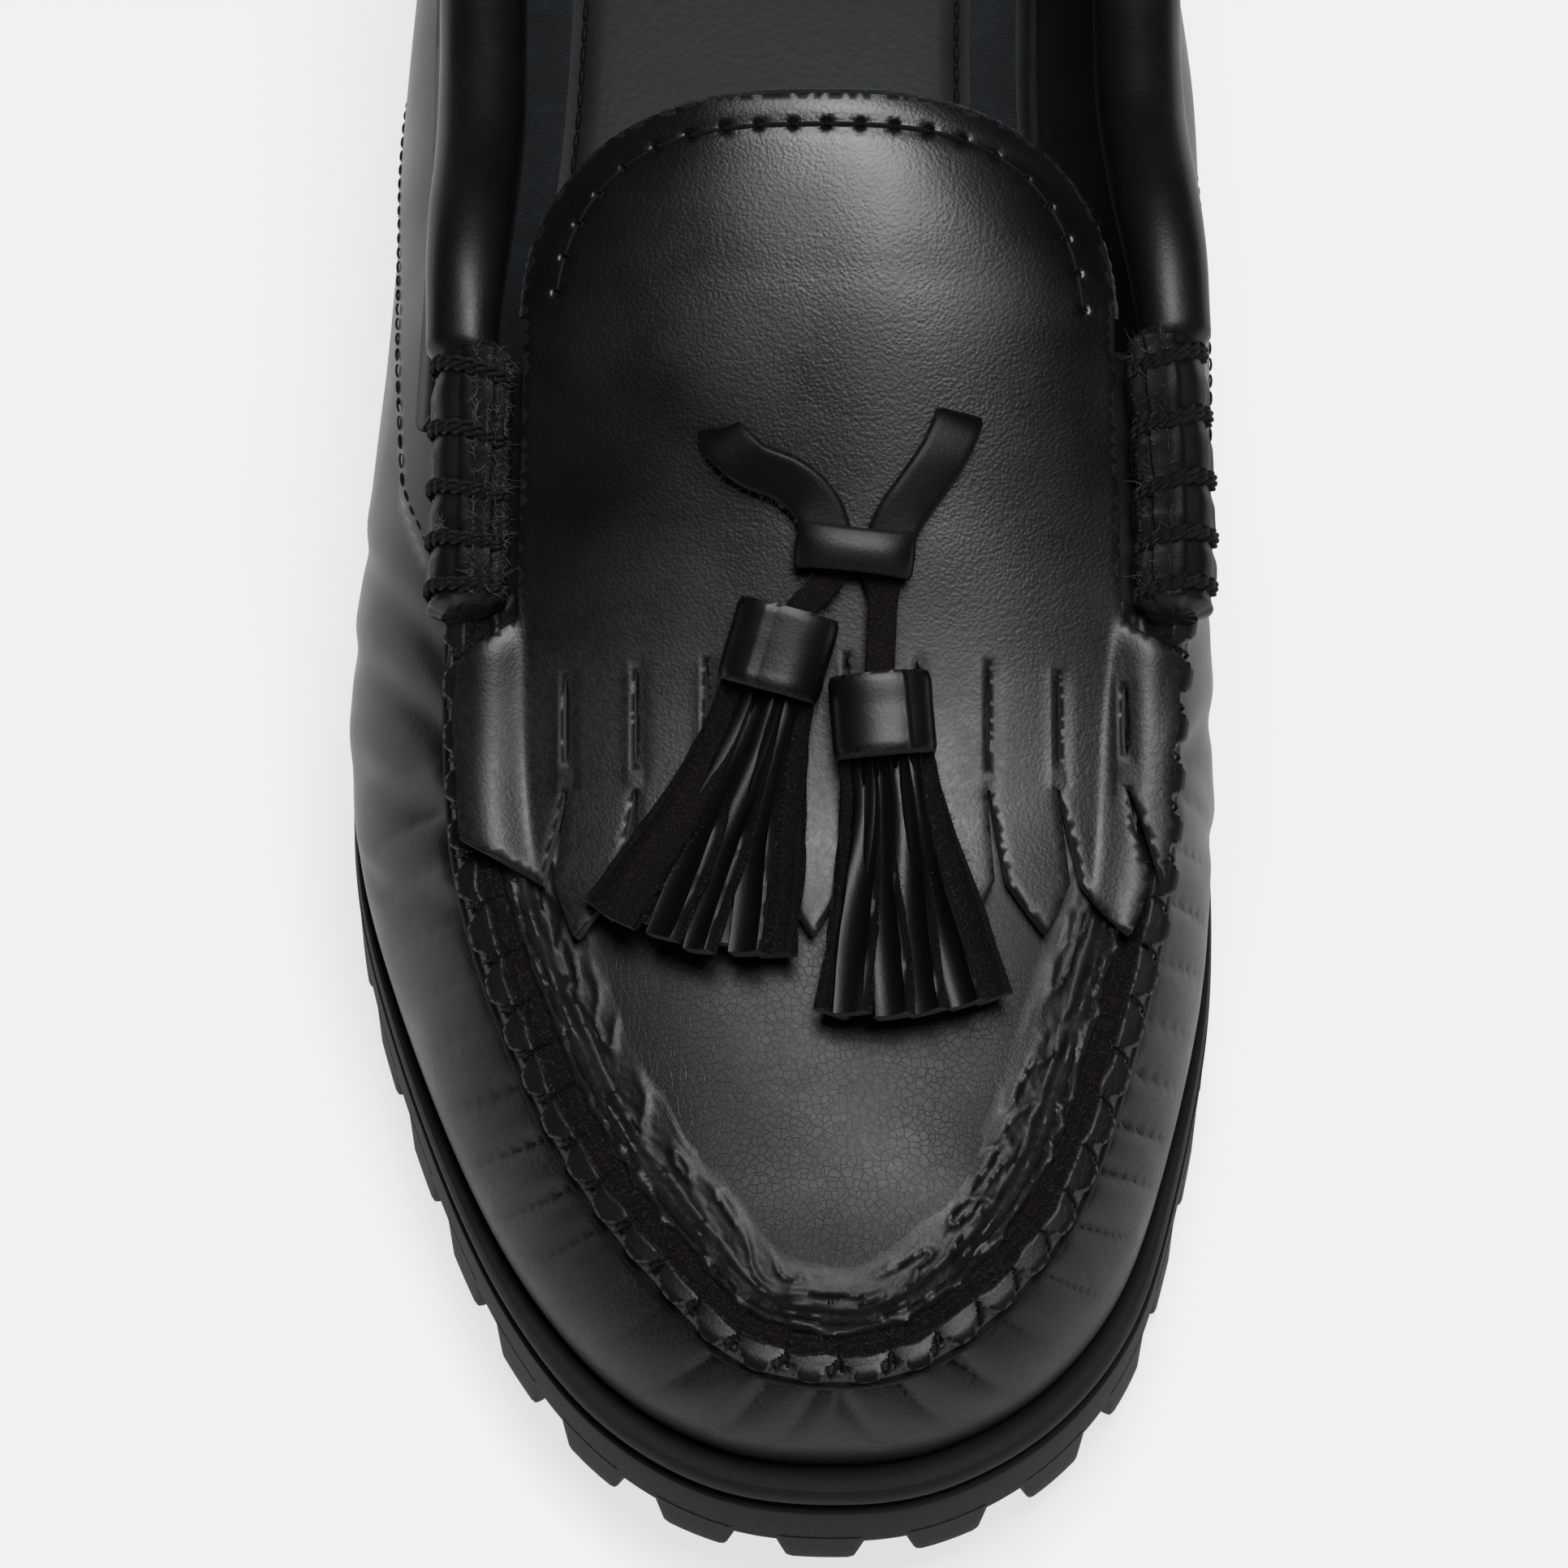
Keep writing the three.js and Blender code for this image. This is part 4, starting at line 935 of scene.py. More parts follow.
@dataclass
class Insole:
    """The insole board with its sock: dyed leather, stitched along both sides over raw strips."""

    last: Last
    thick: float = 3.5 * MM
    stitch: float = 3.2 * MM
    seam_in: float = 9 * MM

    def build(self) -> None:
        """Builds the sock, its raw side strips and its stitches."""
        ring = self.last.ring(np.linspace(0, ROUND, 600, endpoint=False))
        inside = WALL + 2 * GAP
        piece = Piece("insole_sock")
        rows = [ring.off_edge(-inside, ring.seat), ring.off_edge(-inside, ring.seat + 0.8 * self.thick)]
        for inset, lift in ((0.6, 0.95), (1.6, 1.0), (self.seam_in / MM - 1.4, 1.0)):
            rows.append(ring.off_edge(-inside - inset * MM, ring.seat + self.thick * lift))
        groove = ring.off_edge(-inside - self.seam_in, ring.seat + self.thick - 0.5 * MM)
        beyond = ring.off_edge(-inside - self.seam_in - 1.2 * MM, ring.seat + self.thick + 0.3 * MM)
        piece.add_grid(np.stack(rows[:4]), 0, closed=True)
        piece.add_grid(np.stack(rows[3:]), 1, closed=True)
        piece.add_grid(np.stack([rows[4], groove, beyond]), 0, closed=True)
        for row, lift in ((beyond, 0.8 * MM), (rows[0], 0.0)):
            filled = across_loop(row, 25)
            filled[..., 2] += lift * np.sin(pi * np.linspace(0, 1, 25)[:, None]) ** 0.5
            piece.add_grid(filled)
        piece.build([Skin.SOCK, Skin.TEAL_SPLIT], "lining", ["insole"])

        thread = Piece("insole_stitches")
        line = self.last.ring(np.linspace(0, ROUND, 2401))
        seam = line.off_edge(-inside - self.seam_in - 0.3 * MM, line.seat + self.thick + 0.1 * MM)
        add_stitches(thread, seam, np.broadcast_to((0.0, 0.0, 1.0), seam.shape), self.stitch, 0.7, 0.3 * MM)
        thread.build([Skin.THREAD], "lining")


def add_stitches(piece: Piece, line: Array, normals: Array, pitch: float, share: float, radius: float,
                 rise: float = 1.0) -> None:
    """Adds a row of stitches that dive in at both ends.

    Args:
        piece: Where they go.
        line: Points of the seam, close together.
        normals: Directions out of the leather along it.
        pitch: Length of a stitch with its gap.
        share: Part of the pitch that the thread shows.
        radius: Radius of the thread.
        rise: How high the thread's middle stands over the line, in radii.
    """
    run = run_of(line)
    arc = np.linspace(0, 1, 7)
    for k in range(int(run[-1] / pitch)):
        at = (k + (1 - share) / 2 + share * arc) * pitch
        centre, up = along_line(line, run, at), unit(along_line(normals, run, at))
        lift = radius * (rise + 1.2) * np.sin(pi * arc) ** 0.5 - 1.2 * radius
        path = centre + up * lift[:, None]
        across, square = path_frames(path, up)
        piece.add_tube(tube_sections(path, across, square, radius, radius, 6))


@dataclass
class Upper:
    """The hollow upper: vamp, quarters and plug in one wall, with its pleats, creases and overlays."""

    last: Last
    steps: int = 24
    side_rows: int = 34
    plug_columns: int = 44
    ridge_width: float = 8.5 * MM
    throat_section: float = 7.2
    bow_rows: int = 54
    pleat_pitch: float = 7 * MM
    pleat_depth: float = 2.2 * MM
    overlay: float = 0.9 * MM
    gathered: tuple[float, float] = (-52 * MM, -84 * MM)

    # Front edge of the quarter's overlay: y in mm against the height share of the side.
    QUARTER_EDGE = ((1.0, -44), (0.9, -42), (0.78, -33), (0.7, -16), (0.62, 8), (0.5, 28), (0.35, 40),
                    (0.0, 52))
    # Soft creases of the walked vamp: side, y at the seam and at the sole, depth and half width, all in mm.
    CREASES = (
        (Side.LATERAL, -62, -30, 0.5, 2.4), (Side.LATERAL, -72, -48, 0.6, 2.8),
        (Side.LATERAL, -84, -62, 0.5, 2.4), (Side.LATERAL, -54, -12, 0.4, 2.2),
        (Side.MEDIAL, -66, -40, 0.5, 2.6), (Side.MEDIAL, -78, -58, 0.5, 2.4),
        (Side.MEDIAL, -55, -20, 0.4, 2.4),
    )

    def side_height(self, ring: Ring, v: Array, points: Array, run: Array) -> Array:
        """How far the side's leather stands out from the last.

        Args:
            ring: Places round the edge, one a column.
            v: Height shares, one a row.
            points: The side's points.
            run: Length along the rim from the toe, minus on the outer side.

        Returns:
            A height for each point.
        """
        v = v[:, None]
        y = points[..., 1]
        front = smooth(*self.gathered, ring.y)
        slant = run - np.sign(run) * 9 * MM * (1 - v)
        wave = np.abs(np.sin(pi * (slant + 1.5 * MM * wander(run, 11 * MM, 5)) / self.pleat_pitch))
        strength = 0.55 + 0.45 * wander(run, 13 * MM, 8)
        fade = smooth(0.12, 0.95, v) ** 1.2
        height = front * fade * strength * self.pleat_depth * (wave**0.6 - 1)
        height = height + front * fade * 0.1 * MM * wander(slant, 1.1 * MM, 19)
        height = height - front * 0.5 * MM * smooth(0.9, 1, v)
        soft = wander2(run + 0 * v, points[..., 2], 16 * MM, 3) * 0.22 * MM
        height = height + soft * smooth(0.05, 0.4, v) * smooth(1.0, 0.8, v)
        for side, top, foot, depth, width in self.CREASES:
            on = (np.sign(points[..., 0]) == side.value) * smooth(0.12, 0.4, v) * smooth(1.02, 0.9, v)
            line = mix(foot, top, v) * MM + 1.2 * MM * wander(points[..., 2], 9 * MM, int(-top))
            trough = hump(y, line, width * MM) - 0.55 * hump(y, line + 1.9 * width * MM, 1.3 * width * MM)
            height = height - on * depth * MM * trough
        edge = np.array(self.QUARTER_EDGE)
        limit = np.interp(v, edge[::-1, 0], edge[::-1, 1]) * MM
        return height + self.overlay * smooth(-0.35 * MM, 0.35 * MM, y - limit)

    def build(self) -> None:
        """Builds the wall and the stitches of its quarters."""
        last, steps = self.last, self.steps
        count = ROUND * steps
        ring = last.ring(np.arange(count) / steps)
        v = 1 - (1 - np.linspace(0, 1, self.side_rows)) ** 1.15
        points = np.stack([ring.side(s) for s in v])
        rim = points[-1]
        run = run_of(rim)
        run = run - run[TOE * steps]
        raised = self.side_height(ring, v, points, run)
        patches = [(points, raised, None)]

        throat = round(self.throat_section * steps)
        front = np.arange(throat, count - throat + 1)
        part = last.ring(front / steps)
        near = np.minimum(front, count - front) - throat
        bow = np.where(near < self.bow_rows, (1 - near / self.bow_rows) ** 2, 0.0)
        rows = [rim[front]]
        for share in (0.25, 0.5, 0.75, 1.0):
            flat = part.off_edge(-part.inset - self.ridge_width * share, 0.0)
            y = flat[:, 1] + bow * (last.throat_y(flat[:, 0]) - last.throat_back + last.throat_depth)
            rows.append(stack(flat[:, 0], y, last.instep(flat[:, 0], y)))
        ridge = np.stack(rows)
        sunk = np.array([-0.5, -0.4, -0.3, -0.1, 0.0])[:, None] * MM * smooth(*self.gathered, part.y)
        patches.append((ridge, sunk, UP))

        half = (len(front) - 1) // 2
        flat = part.off_edge(-part.inset - self.ridge_width, 0.0)
        a, b = flat[:half + 1], flat[::-1][:half + 1]
        t = np.linspace(0, 1, self.plug_columns)[None, :]
        x = mix(a[:, :1], b[:, :1], t)
        y = mix(a[:, 1:2], b[:, 1:2], t)
        y = y + bow[:half + 1, None] * (last.throat_y(x) - last.throat_back + last.throat_depth)
        plug = stack(x, y, last.instep(x, y))
        patches.append((plug, wander2(x, y, 12 * MM, 21) * 0.18 * MM * smooth(-60 * MM, -95 * MM, y), UP))

        quads, start = [], 0
        for patch, _, towards in patches:
            face = grid_faces(*patch.shape[:2], closed=towards is None)
            quads.append(turned(face, patch.reshape(-1, 3), towards) + start)
            start += patch.shape[0] * patch.shape[1]
        every = np.concatenate([patch.reshape(-1, 3) for patch, _, _ in patches])
        key = np.round(every / (0.02 * MM)).astype(int)
        _, first, same = np.unique(key, axis=0, return_index=True, return_inverse=True)
        quads = same.reshape(-1)[np.concatenate(quads)]
        sound = np.array([len(set(q)) == 4 for q in quads.tolist()])
        height = np.concatenate([height.ravel() for _, height, _ in patches])[first]
        wear = smooth(-60 * MM, -105 * MM, every[first, 1])
        piece = Piece("upper_wall")
        sheet_solid(piece, every[first], quads[sound], height, WALL, (0, 1, 2), wear)
        piece.build([Skin.CALF, Skin.LINING, Skin.SPLIT], "upper_leather", ["upper"])
        self.stitch_quarters()

    def stitch_quarters(self) -> None:
        """Stitches behind the front edge of each quarter."""
        piece = Piece("quarter_stitches")
        edge = np.array(self.QUARTER_EDGE)
        v = np.linspace(0.97, 0.12, 120)
        for side in Side:
            y = np.interp(v, edge[::-1, 0], edge[::-1, 1]) * MM + 2.6 * MM
            at = np.linspace(4, 10, 600) if side is Side.LATERAL else np.linspace(26, 20, 600)
            ring = self.last.ring(at)
            rows = np.stack([ring.side(s) for s in v])
            pick = np.array([int(np.argmin(np.abs(r[:, 1] - w))) for r, w in zip(rows, y)])
            places = self.last.ring(at[pick])
            normals = places.side_normal(v)
            seam = places.side(v) + normals * self.overlay
            add_stitches(piece, seam, normals, 2.6 * MM, 0.72, 0.15 * MM, 0.1)
        piece.build([Skin.THREAD], "upper_leather")


@dataclass
class ApronSeam:
    """The hand sewn apron seam: a scalloped lip of the vamp, a raw edge, a smooth fold and gathers."""

    last: Last
    from_section: float = 8.25
    outer: float = 2.2 * MM
    inner: float = 13 * MM
    scallop: float = 6.4 * MM
    step: float = 0.36 * MM

    def base(self, ring: Ring, inward: float) -> Array:
        """Points a distance inside the rim, over the plug, or outside it, down the side."""
        if inward < 0:
            down = -inward / np.hypot(ring.rise, ring.inset + 4 * ring.belly)
            return ring.side(1 - down)
        flat = ring.off_edge(-ring.inset - inward, 0.0)
        return stack(flat[:, 0], flat[:, 1], self.last.instep(flat[:, 0], flat[:, 1]))

    def profile(self, inward: Array, run: Array) -> tuple[Array, Array]:
        """Height and rawness of the seam.

        Args:
            inward: Distances inside the rim, one a row.
            run: Lengths along the seam, one a column.

        Returns:
            The height and the share of raw fibre at each row and column.
        """
        d = inward[:, None] / MM
        phase = run / self.scallop + 0.12 * wander(run, 17 * MM, 2)
        share = phase - np.floor(phase)
        bulge = np.sin(pi * share) ** 0.55
        outer_edge = mix(1.3, -0.9, bulge) + 0.5 * (share - 0.5)
        lip_end = 1.9 + 0.3 * wander(run, 3 * MM, 6)
        rise = smooth(0, 0.5, d - outer_edge)
        lip = (1.25 + 0.3 * bulge + 0.5 * (share - 0.4)) * rise
        grain = wander2(run + 0 * d * MM, d * MM, 0.55 * MM, 4)
        torn = wander2(run + 0 * d * MM, d * MM * 2, 2.2 * MM, 7)
        raw_band = smooth(-0.15, 0.15, d - lip_end) * (1 - smooth(4.4, 4.8, d + 0.5 * torn))
        height = lip * (1 - smooth(3.4, 5.0, d + 0.4 * torn)) + raw_band * (0.2 * grain - 0.25)
        fold = smooth(3.9, 5.0, d + 0.4 * torn) * (1 - smooth(6.6, 8.0, d))
        height = height + fold * (1.25 + 0.3 * torn + 0.1 * grain) - 0.35 * hump(d, 5.7 + 0.4 * torn, 0.22)
        toe = smooth(-60 * MM, -105 * MM, self.y)
        crease = 1 - np.abs(wander2(0.4 * run + 0.5 * d * MM, d * MM * 1.8, 2.2 * MM, 12))
        small = 1 - np.abs(wander2(0.5 * run - 0.5 * d * MM, d * MM * 1.6, 1.0 * MM, 14))
        gather = hump(d, 8.6, 1.7) * (0.35 + 0.65 * toe)
        height = height + gather * (0.42 * crease**3 + 0.14 * small**3)
        height = height + hump(d, 11, 1.3) * toe * 0.25 * crease**3
        height = height - hump(d, -1.2, 0.5) * 0.5
        ends = smooth(0, 2.2, d + self.outer / MM) * smooth(0, 3.0, self.inner / MM - d)
        raw = np.clip(raw_band + 0.45 * fold * (torn < 0.1) + 0.4 * gather * (1 - 0.7 * toe), 0, 1)
        return (height * ends + 0.12 * ends) * MM, raw * ends

    def build(self) -> None:
        """Builds the seam and the thread at its stitches."""
        at = np.linspace(self.from_section, ROUND - self.from_section, 4001)
        rim = self.last.ring(at).side(1.0)
        run = run_of(rim)
        lengths = np.arange(0, run[-1], self.step)
        ring = self.last.ring(np.interp(lengths, run, at))
        self.y = ring.y
        finer, coarser = (-self.outer, 4.2 * MM, 0.22 * MM), (4.2 * MM, self.inner, 0.3 * MM)
        inward = np.concatenate([np.arange(*finer), np.arange(*coarser)])
        base = np.stack([self.base(ring, d) for d in inward])
        faces = turned(grid_faces(*base.shape[:2]), base.reshape(-1, 3))
        normals = corner_normals(base.reshape(-1, 3), faces).reshape(base.shape)
        height, raw = self.profile(inward, lengths)
        top = base + normals * height[..., None]
        under = (base - normals * 0.8 * MM)[::8][::-1]
        sections = np.concatenate([top, under]).swapaxes(0, 1)
        marks = np.concatenate([raw, np.zeros(under.shape[:2])]).T
        piece = Piece("apron_seam")
        piece.add_tube(sections, raw=marks, wear=0.5)
        piece.build([Skin.CALF], "upper_leather")
        fuzz = Piece("apron_fuzz")
        for distance, count in ((2.3, 900), (3.2, 700), (4.1, 700)):
            row = int(np.argmin(np.abs(inward - distance * MM)))
            way = unit(normals[row] + np.gradient(base[row], axis=0) / self.step * 0.6)
            add_fibres(fuzz, top[row], way, count, 1.1 * MM, 24 + row, 0, 0.045 * MM)
        fuzz.build([Skin.SPLIT], "upper_leather", weld=False)
        self.stitch(base, normals, inward, lengths)

    def stitch(self, base: Array, normals: Array, inward: Array, lengths: Array) -> None:
        """Short bridges of thread where the lip is drawn in, one for each scallop."""
        piece = Piece("apron_thread")
        phase = lengths / self.scallop + 0.12 * wander(lengths, 17 * MM, 2)
        turns = np.flatnonzero(np.diff(np.floor(phase)) > 0)
        reach = np.array([-0.9, -0.5, 0.1, 0.8, 1.4, 1.8]) * MM
        lift = np.array([-0.7, 0.1, 1.05, 1.75, 1.6, 0.9]) * MM
        for k in turns:
            rows = [int(np.argmin(np.abs(inward - d))) for d in reach]
            drift = np.clip(np.array([k - 2, k - 2, k - 1, k, k + 1, k + 1]), 0, base.shape[1] - 1)
            path = base[rows, drift] + normals[rows, drift] * lift[:, None]
            add_thread(piece, smooth_path(path, 12), 0.24 * MM)
        piece.build([Skin.THREAD], "upper_leather")


@dataclass
class Collar:
    """The rolled leather binding of the top line, with its seam, and the lace that runs under it."""

    last: Last
    width: float = 11 * MM
    height: float = 8.6 * MM
    taper: float = 0.8
    thinning: float = 0.06
    into_roll: float = 0.14
    lace_width: float = 4.2 * MM
    lace_thick: float = 1.4 * MM
    lace_drop: float = 5 * MM

    # Section of the lace: share across, share of its thickness, and how raw it is there.
    LACE = ((-1, 0.1, 1), (-1, 0.7, 0.9), (-0.85, 0.97, 0.3), (0, 1.06, 0), (0.85, 0.97, 0.3), (1, 0.7, 0.9),
            (1, 0.1, 1), (0, 0, 1))

    def roll(self) -> None:
        """The roll, flatter underneath, with small wrinkles where it turns."""
        count = 520
        start, end = RIM_RUNS["collar"]
        at = np.linspace(start + self.into_roll, end - self.into_roll, count)
        ring = self.last.ring(at)
        from_end = np.minimum(np.arange(count), count - 1 - np.arange(count)) / count
        full = mix(self.taper, 1, smooth(0, self.thinning, from_end))
        blunt = np.sqrt(np.clip(from_end / 0.006, 0.05, 1))
        run = at * 20 * MM
        high = self.height / 2 * full
        wide = self.width / 2 * full
        middle = ring.side(1.0) + stack(0, 0, high + GAP)
        sides = 36
        turn = full_turn(sides)
        ripple = 1 + 0.012 * wander2(run[:, None], turn * 9 * MM, 6 * MM, 31)
        seam = 1 - 0.09 * hump(np.mod(turn, 2 * pi), 5.5, 0.14) - 0.06 * hump(turn, 3.9, 0.14)
        across = np.cos(turn) * wide[:, None] * ripple * seam * blunt[:, None]
        up = np.sin(turn) * high[:, None] * ripple * seam * blunt[:, None]
        up = np.where(up < 0, up * 0.96, up)
        out = stack(ring.out[:, 0], ring.out[:, 1], 0)
        sections = sections_of(middle, out, np.broadcast_to(UP, out.shape), across, up)
        piece = Piece("collar_roll")
        piece.add_tube(sections, wear=0.35 * hump(turn, pi / 2, 0.9))
        piece.build([Skin.CALF], "collar_leather", ["collar"])

        threads = Piece("collar_stitches")
        for outwards, angle, share in ((1, 5.5, 0.93), (-1, 5.3, 0.95)):
            line = middle + out * (outwards * cos(angle) * wide * share)[:, None]
            line[:, 2] += sin(angle) * high * share
            way = unit(outwards * out * 0.8 - UP * 0.4)
            add_stitches(threads, line[6:-6], way[6:-6], 3.2 * MM, 0.72, 0.25 * MM)
        threads.build([Skin.THREAD], "collar_leather")

    def lace(self, name: str) -> None:
        """One stretch of the flat lace, with rounded ends and a raw edge above and below."""
        count = 120
        ring = self.last.ring(np.linspace(*RIM_RUNS[name], count))
        v = 1 - self.lace_drop / ring.rise
        half = self.lace_width / 2 / ring.rise
        share = np.minimum(np.arange(count), count - 1 - np.arange(count)) / count
        rounding = np.sqrt(np.clip(1 - (1 - share / 0.02).clip(0, 1) ** 2, 0.04, 1))
        normal = ring.side_normal(v)
        sections = []
        for across, depth, _ in self.LACE:
            place = ring.side(v + half * across * rounding)
            sections.append(place + normal * (GAP + self.lace_thick * depth))
        piece = Piece(name + "_strap")
        piece.add_tube(np.stack(sections, axis=1), raw=[raw for _, _, raw in self.LACE])
        piece.build([Skin.CALF], "lace_leather", [name])

    def build(self) -> None:
        """Builds the roll and the three stretches of lace that show."""
        self.roll()
        for name in RIM_RUNS:
            if name.startswith("collar_lace"):
                self.lace(name)


def add_fibres(piece: Piece, line: Array, directions: Array, count: int, length: float, seed: int,
               finish: int = 0, thick: float = 0.05 * MM) -> None:
    """Adds short bent fibres along a raw edge.

    Args:
        piece: Where they go.
        line: Points of the edge, close together.
        directions: The way the fibres stand at each point.
        count: How many there are.
        length: Their greatest length.
        seed: Picks their places.
        finish: Finish number.
        thick: Radius at the root.
    """
    random = np.random.default_rng(seed)
    at = random.uniform(0, len(line) - 1.001, count)
    k = at.astype(int)
    roots = mix(line[k], line[k + 1], (at - k)[:, None])
    aim = unit(directions[k] + random.normal(0, 0.55, (count, 3)))
    size = length * random.uniform(0.25, 1, (count, 1))
    curl = random.normal(0, 0.35, (count, 3))
    spread = np.array([(1.0, 0), (-0.5, 0.87), (-0.5, -0.87)])
    sideways = unit(np.cross(aim, (0.3, 0.5, 0.8)))
    other = np.cross(aim, sideways)
    rows = []
    for share in (0.0, 0.5, 1.0):
        middle = roots + (aim + curl * share) * size * share - aim * thick
        radius = thick * (1 - 0.85 * share)
        rows.append(sections_of(middle, sideways, other, *(radius * spread.T[:, None])))
    points = np.stack(rows, axis=1).reshape(-1, 3)
    first = 9 * np.arange(count)[:, None, None]
    faces = (grid_faces(3, 3, False, True) + first).reshape(-1, 4)
    caps = (np.array([(0, 1, 2), (8, 7, 6)]) + first).reshape(-1, 3)
    start = piece.count
    piece.add(points, faces, finish, raw=1.0)
    piece.faces.append((caps + start, finish))


@dataclass
class Beefroll:
    """A thick roll of folded leather where the seam meets the top line, wound with five turns of thread."""

    last: Last
    side: Side
    wraps: int = 5
    width: float = 11 * MM
    height: float = 6.5 * MM
    inset: float = 3.1 * MM
    lean: float = 0.47
    relief: float = 0.6 * MM
    thread: float = 0.95 * MM

    def frame(self, at: Array) -> Triple:
        """Middle of the roll, the way across it and the way out of it, at places of the rim."""
        ring = self.last.ring(at)
        out = stack(ring.out[:, 0], ring.out[:, 1], 0.0)
        normal = out * sin(self.lean) + UP * cos(self.lean)
        across = out * cos(self.lean) - UP * sin(self.lean)
        foot = ring.off_edge(-ring.inset - self.inset, 0.0)
        foot[:, 2] = self.last.instep(foot[:, 0], foot[:, 1])
        return foot + normal * (GAP + self.height / 2), across, normal

    def build(self) -> None:
        """Builds the folded leather, its layers, and the thread round it."""
        name = f"beefroll_{self.side.name.lower()}"
        start, end = RIM_RUNS[name]
        count = 160
        share = np.linspace(0, 1, count)
        middle, across, normal = self.frame(mix(start, end, share))
        drawn = 0.5 * (1 + np.cos(2 * pi * (share * self.wraps + 0.5)))
        near_end = np.minimum(share, 1 - share)
        full = mix(0.62, 1, smooth(0, 0.05, near_end))
        sides = 44
        turn = full_turn(sides)
        # Edges of the folded layers, seen as lines that run the roll's length.
        layers = sum(hump(turn, at, 0.08) for at in (0.5, 1.38, 1.92, 2.6)) * 0.14
        ripple = 0.03 * wander2(share[:, None] * 40 * MM, turn * 5 * MM, 2.6 * MM, 41 + self.side.value)
        wide = (self.width / 2 - self.relief * drawn ** 2) * full
        high = (self.height / 2 - 0.6 * self.relief * drawn ** 2) * full
        grow = 1 - layers + ripple * (1 - drawn)[:, None]
        sections = sections_of(middle, across, normal, np.cos(turn) * wide[:, None] * grow,
                               np.sin(turn) * high[:, None] * grow)
        piece = Piece(name + "_roll")
        torn = np.clip(layers * 5, 0, 0.8) + 0.75 * smooth(1.85, 2.05, turn) * (turn < pi)
        patchy = 0.4 + 0.6 * np.abs(wander(share, 0.05, 9))
        piece.add_tube(sections, raw=np.clip(torn, 0, 1) * patchy[:, None])
        piece.build([Skin.CALF], "collar_leather", [name])

        wound = Piece(name + "_thread")
        for k in range(self.wraps):
            self.add_wrap(wound, mix(start, end, (k + 0.5) / self.wraps), k)
        wound.build([Skin.THREAD], "collar_leather")
        self.add_filler(name, start, end)

    def add_wrap(self, piece: Piece, at: float, seed: int) -> None:
        """One turn of thick twisted thread: two plies side by side that cross the roll a little aslant.

        Args:
            piece: Where it goes.
            at: Its place along the rim.
            seed: Picks how it strays.
        """
        turn = np.linspace(-0.5, pi + 0.5, 56)
        slant = 0.045 * np.cos(turn) * self.side.value + 0.006 * wander(turn, 0.9, seed)
        for beside in (-1, 1):
            places = at + slant + beside * 0.012 * (1 if self.side is Side.LATERAL else -1)
            middle, across, normal = self.frame(places)
            wide = self.width / 2 - self.relief + 0.25 * self.thread
            high = self.height / 2 - 0.6 * self.relief + 0.3 * self.thread
            path = middle + across * (np.cos(turn) * wide)[:, None] + normal * (np.sin(turn) * high)[:, None]
            ends = smooth(0, 0.12, np.minimum(np.linspace(0, 1, 56), np.linspace(1, 0, 56)))
            out = unit(across * np.cos(turn)[:, None] + normal * np.sin(turn)[:, None])
            path = path - out * (1 - ends)[:, None] * 1.4 * self.thread
            twist_path = smooth_path(path, 180)
            side_way, up = path_frames(twist_path, smooth_path(out, 180))
            phase = np.linspace(0, 2 * pi * 6, 180)
            for ply in (0, pi):
                wind = 0.3 * self.thread
                strand = (twist_path + side_way * (np.cos(phase + ply) * wind)[:, None]
                          + up * (np.sin(phase + ply) * wind)[:, None])
                piece.add_tube(tube_sections(strand, side_way, up, 0.42 * self.thread, 0.4 * self.thread, 7))

    def add_filler(self, name: str, start: float, end: float) -> None:
        """Pale and dark fluff of the stuffing where it shows between the layers at the roll's inner side.

        Args:
            name: The roll's name.
            start: Where the roll starts along the rim.
            end: Where it ends.
        """
        fluff = Piece(name + "_fluff")
        share = np.linspace(0.04, 0.97, 90)
        middle, across, normal = self.frame(mix(start, end, share))
        for turn in (2.0, 2.3, 2.6, 2.9):
            out = across * cos(turn) + normal * sin(turn)
            line = middle + 0.95 * (across * cos(turn) * self.width + normal * sin(turn) * self.height) / 2
            way = unit(out * 0.4 + np.gradient(middle, axis=0) / MM * 0.5 * sin(9 * turn))
            pale = 170 if self.side is Side.LATERAL else 30
            add_fibres(fluff, line, way, pale, 1.8 * MM, 17 + int(turn * 10), 0, 0.05 * MM)
            add_fibres(fluff, line, way, 200, 1.3 * MM, 18 + int(turn * 10), 1, 0.04 * MM)
        if self.side is Side.LATERAL:
            # A tuft of the stuffing that stands out between two wraps.
            out = across * cos(1.15) + normal * sin(1.15)
            line = middle + 0.97 * (across * cos(1.15) * self.width + normal * sin(1.15) * self.height) / 2
            add_fibres(fluff, line[55:59], out[55:59], 130, 1.3 * MM, 19, 0, 0.09 * MM)
        fluff.build([Skin.PALE_FLUFF, Skin.SPLIT], "collar_leather", weld=False)


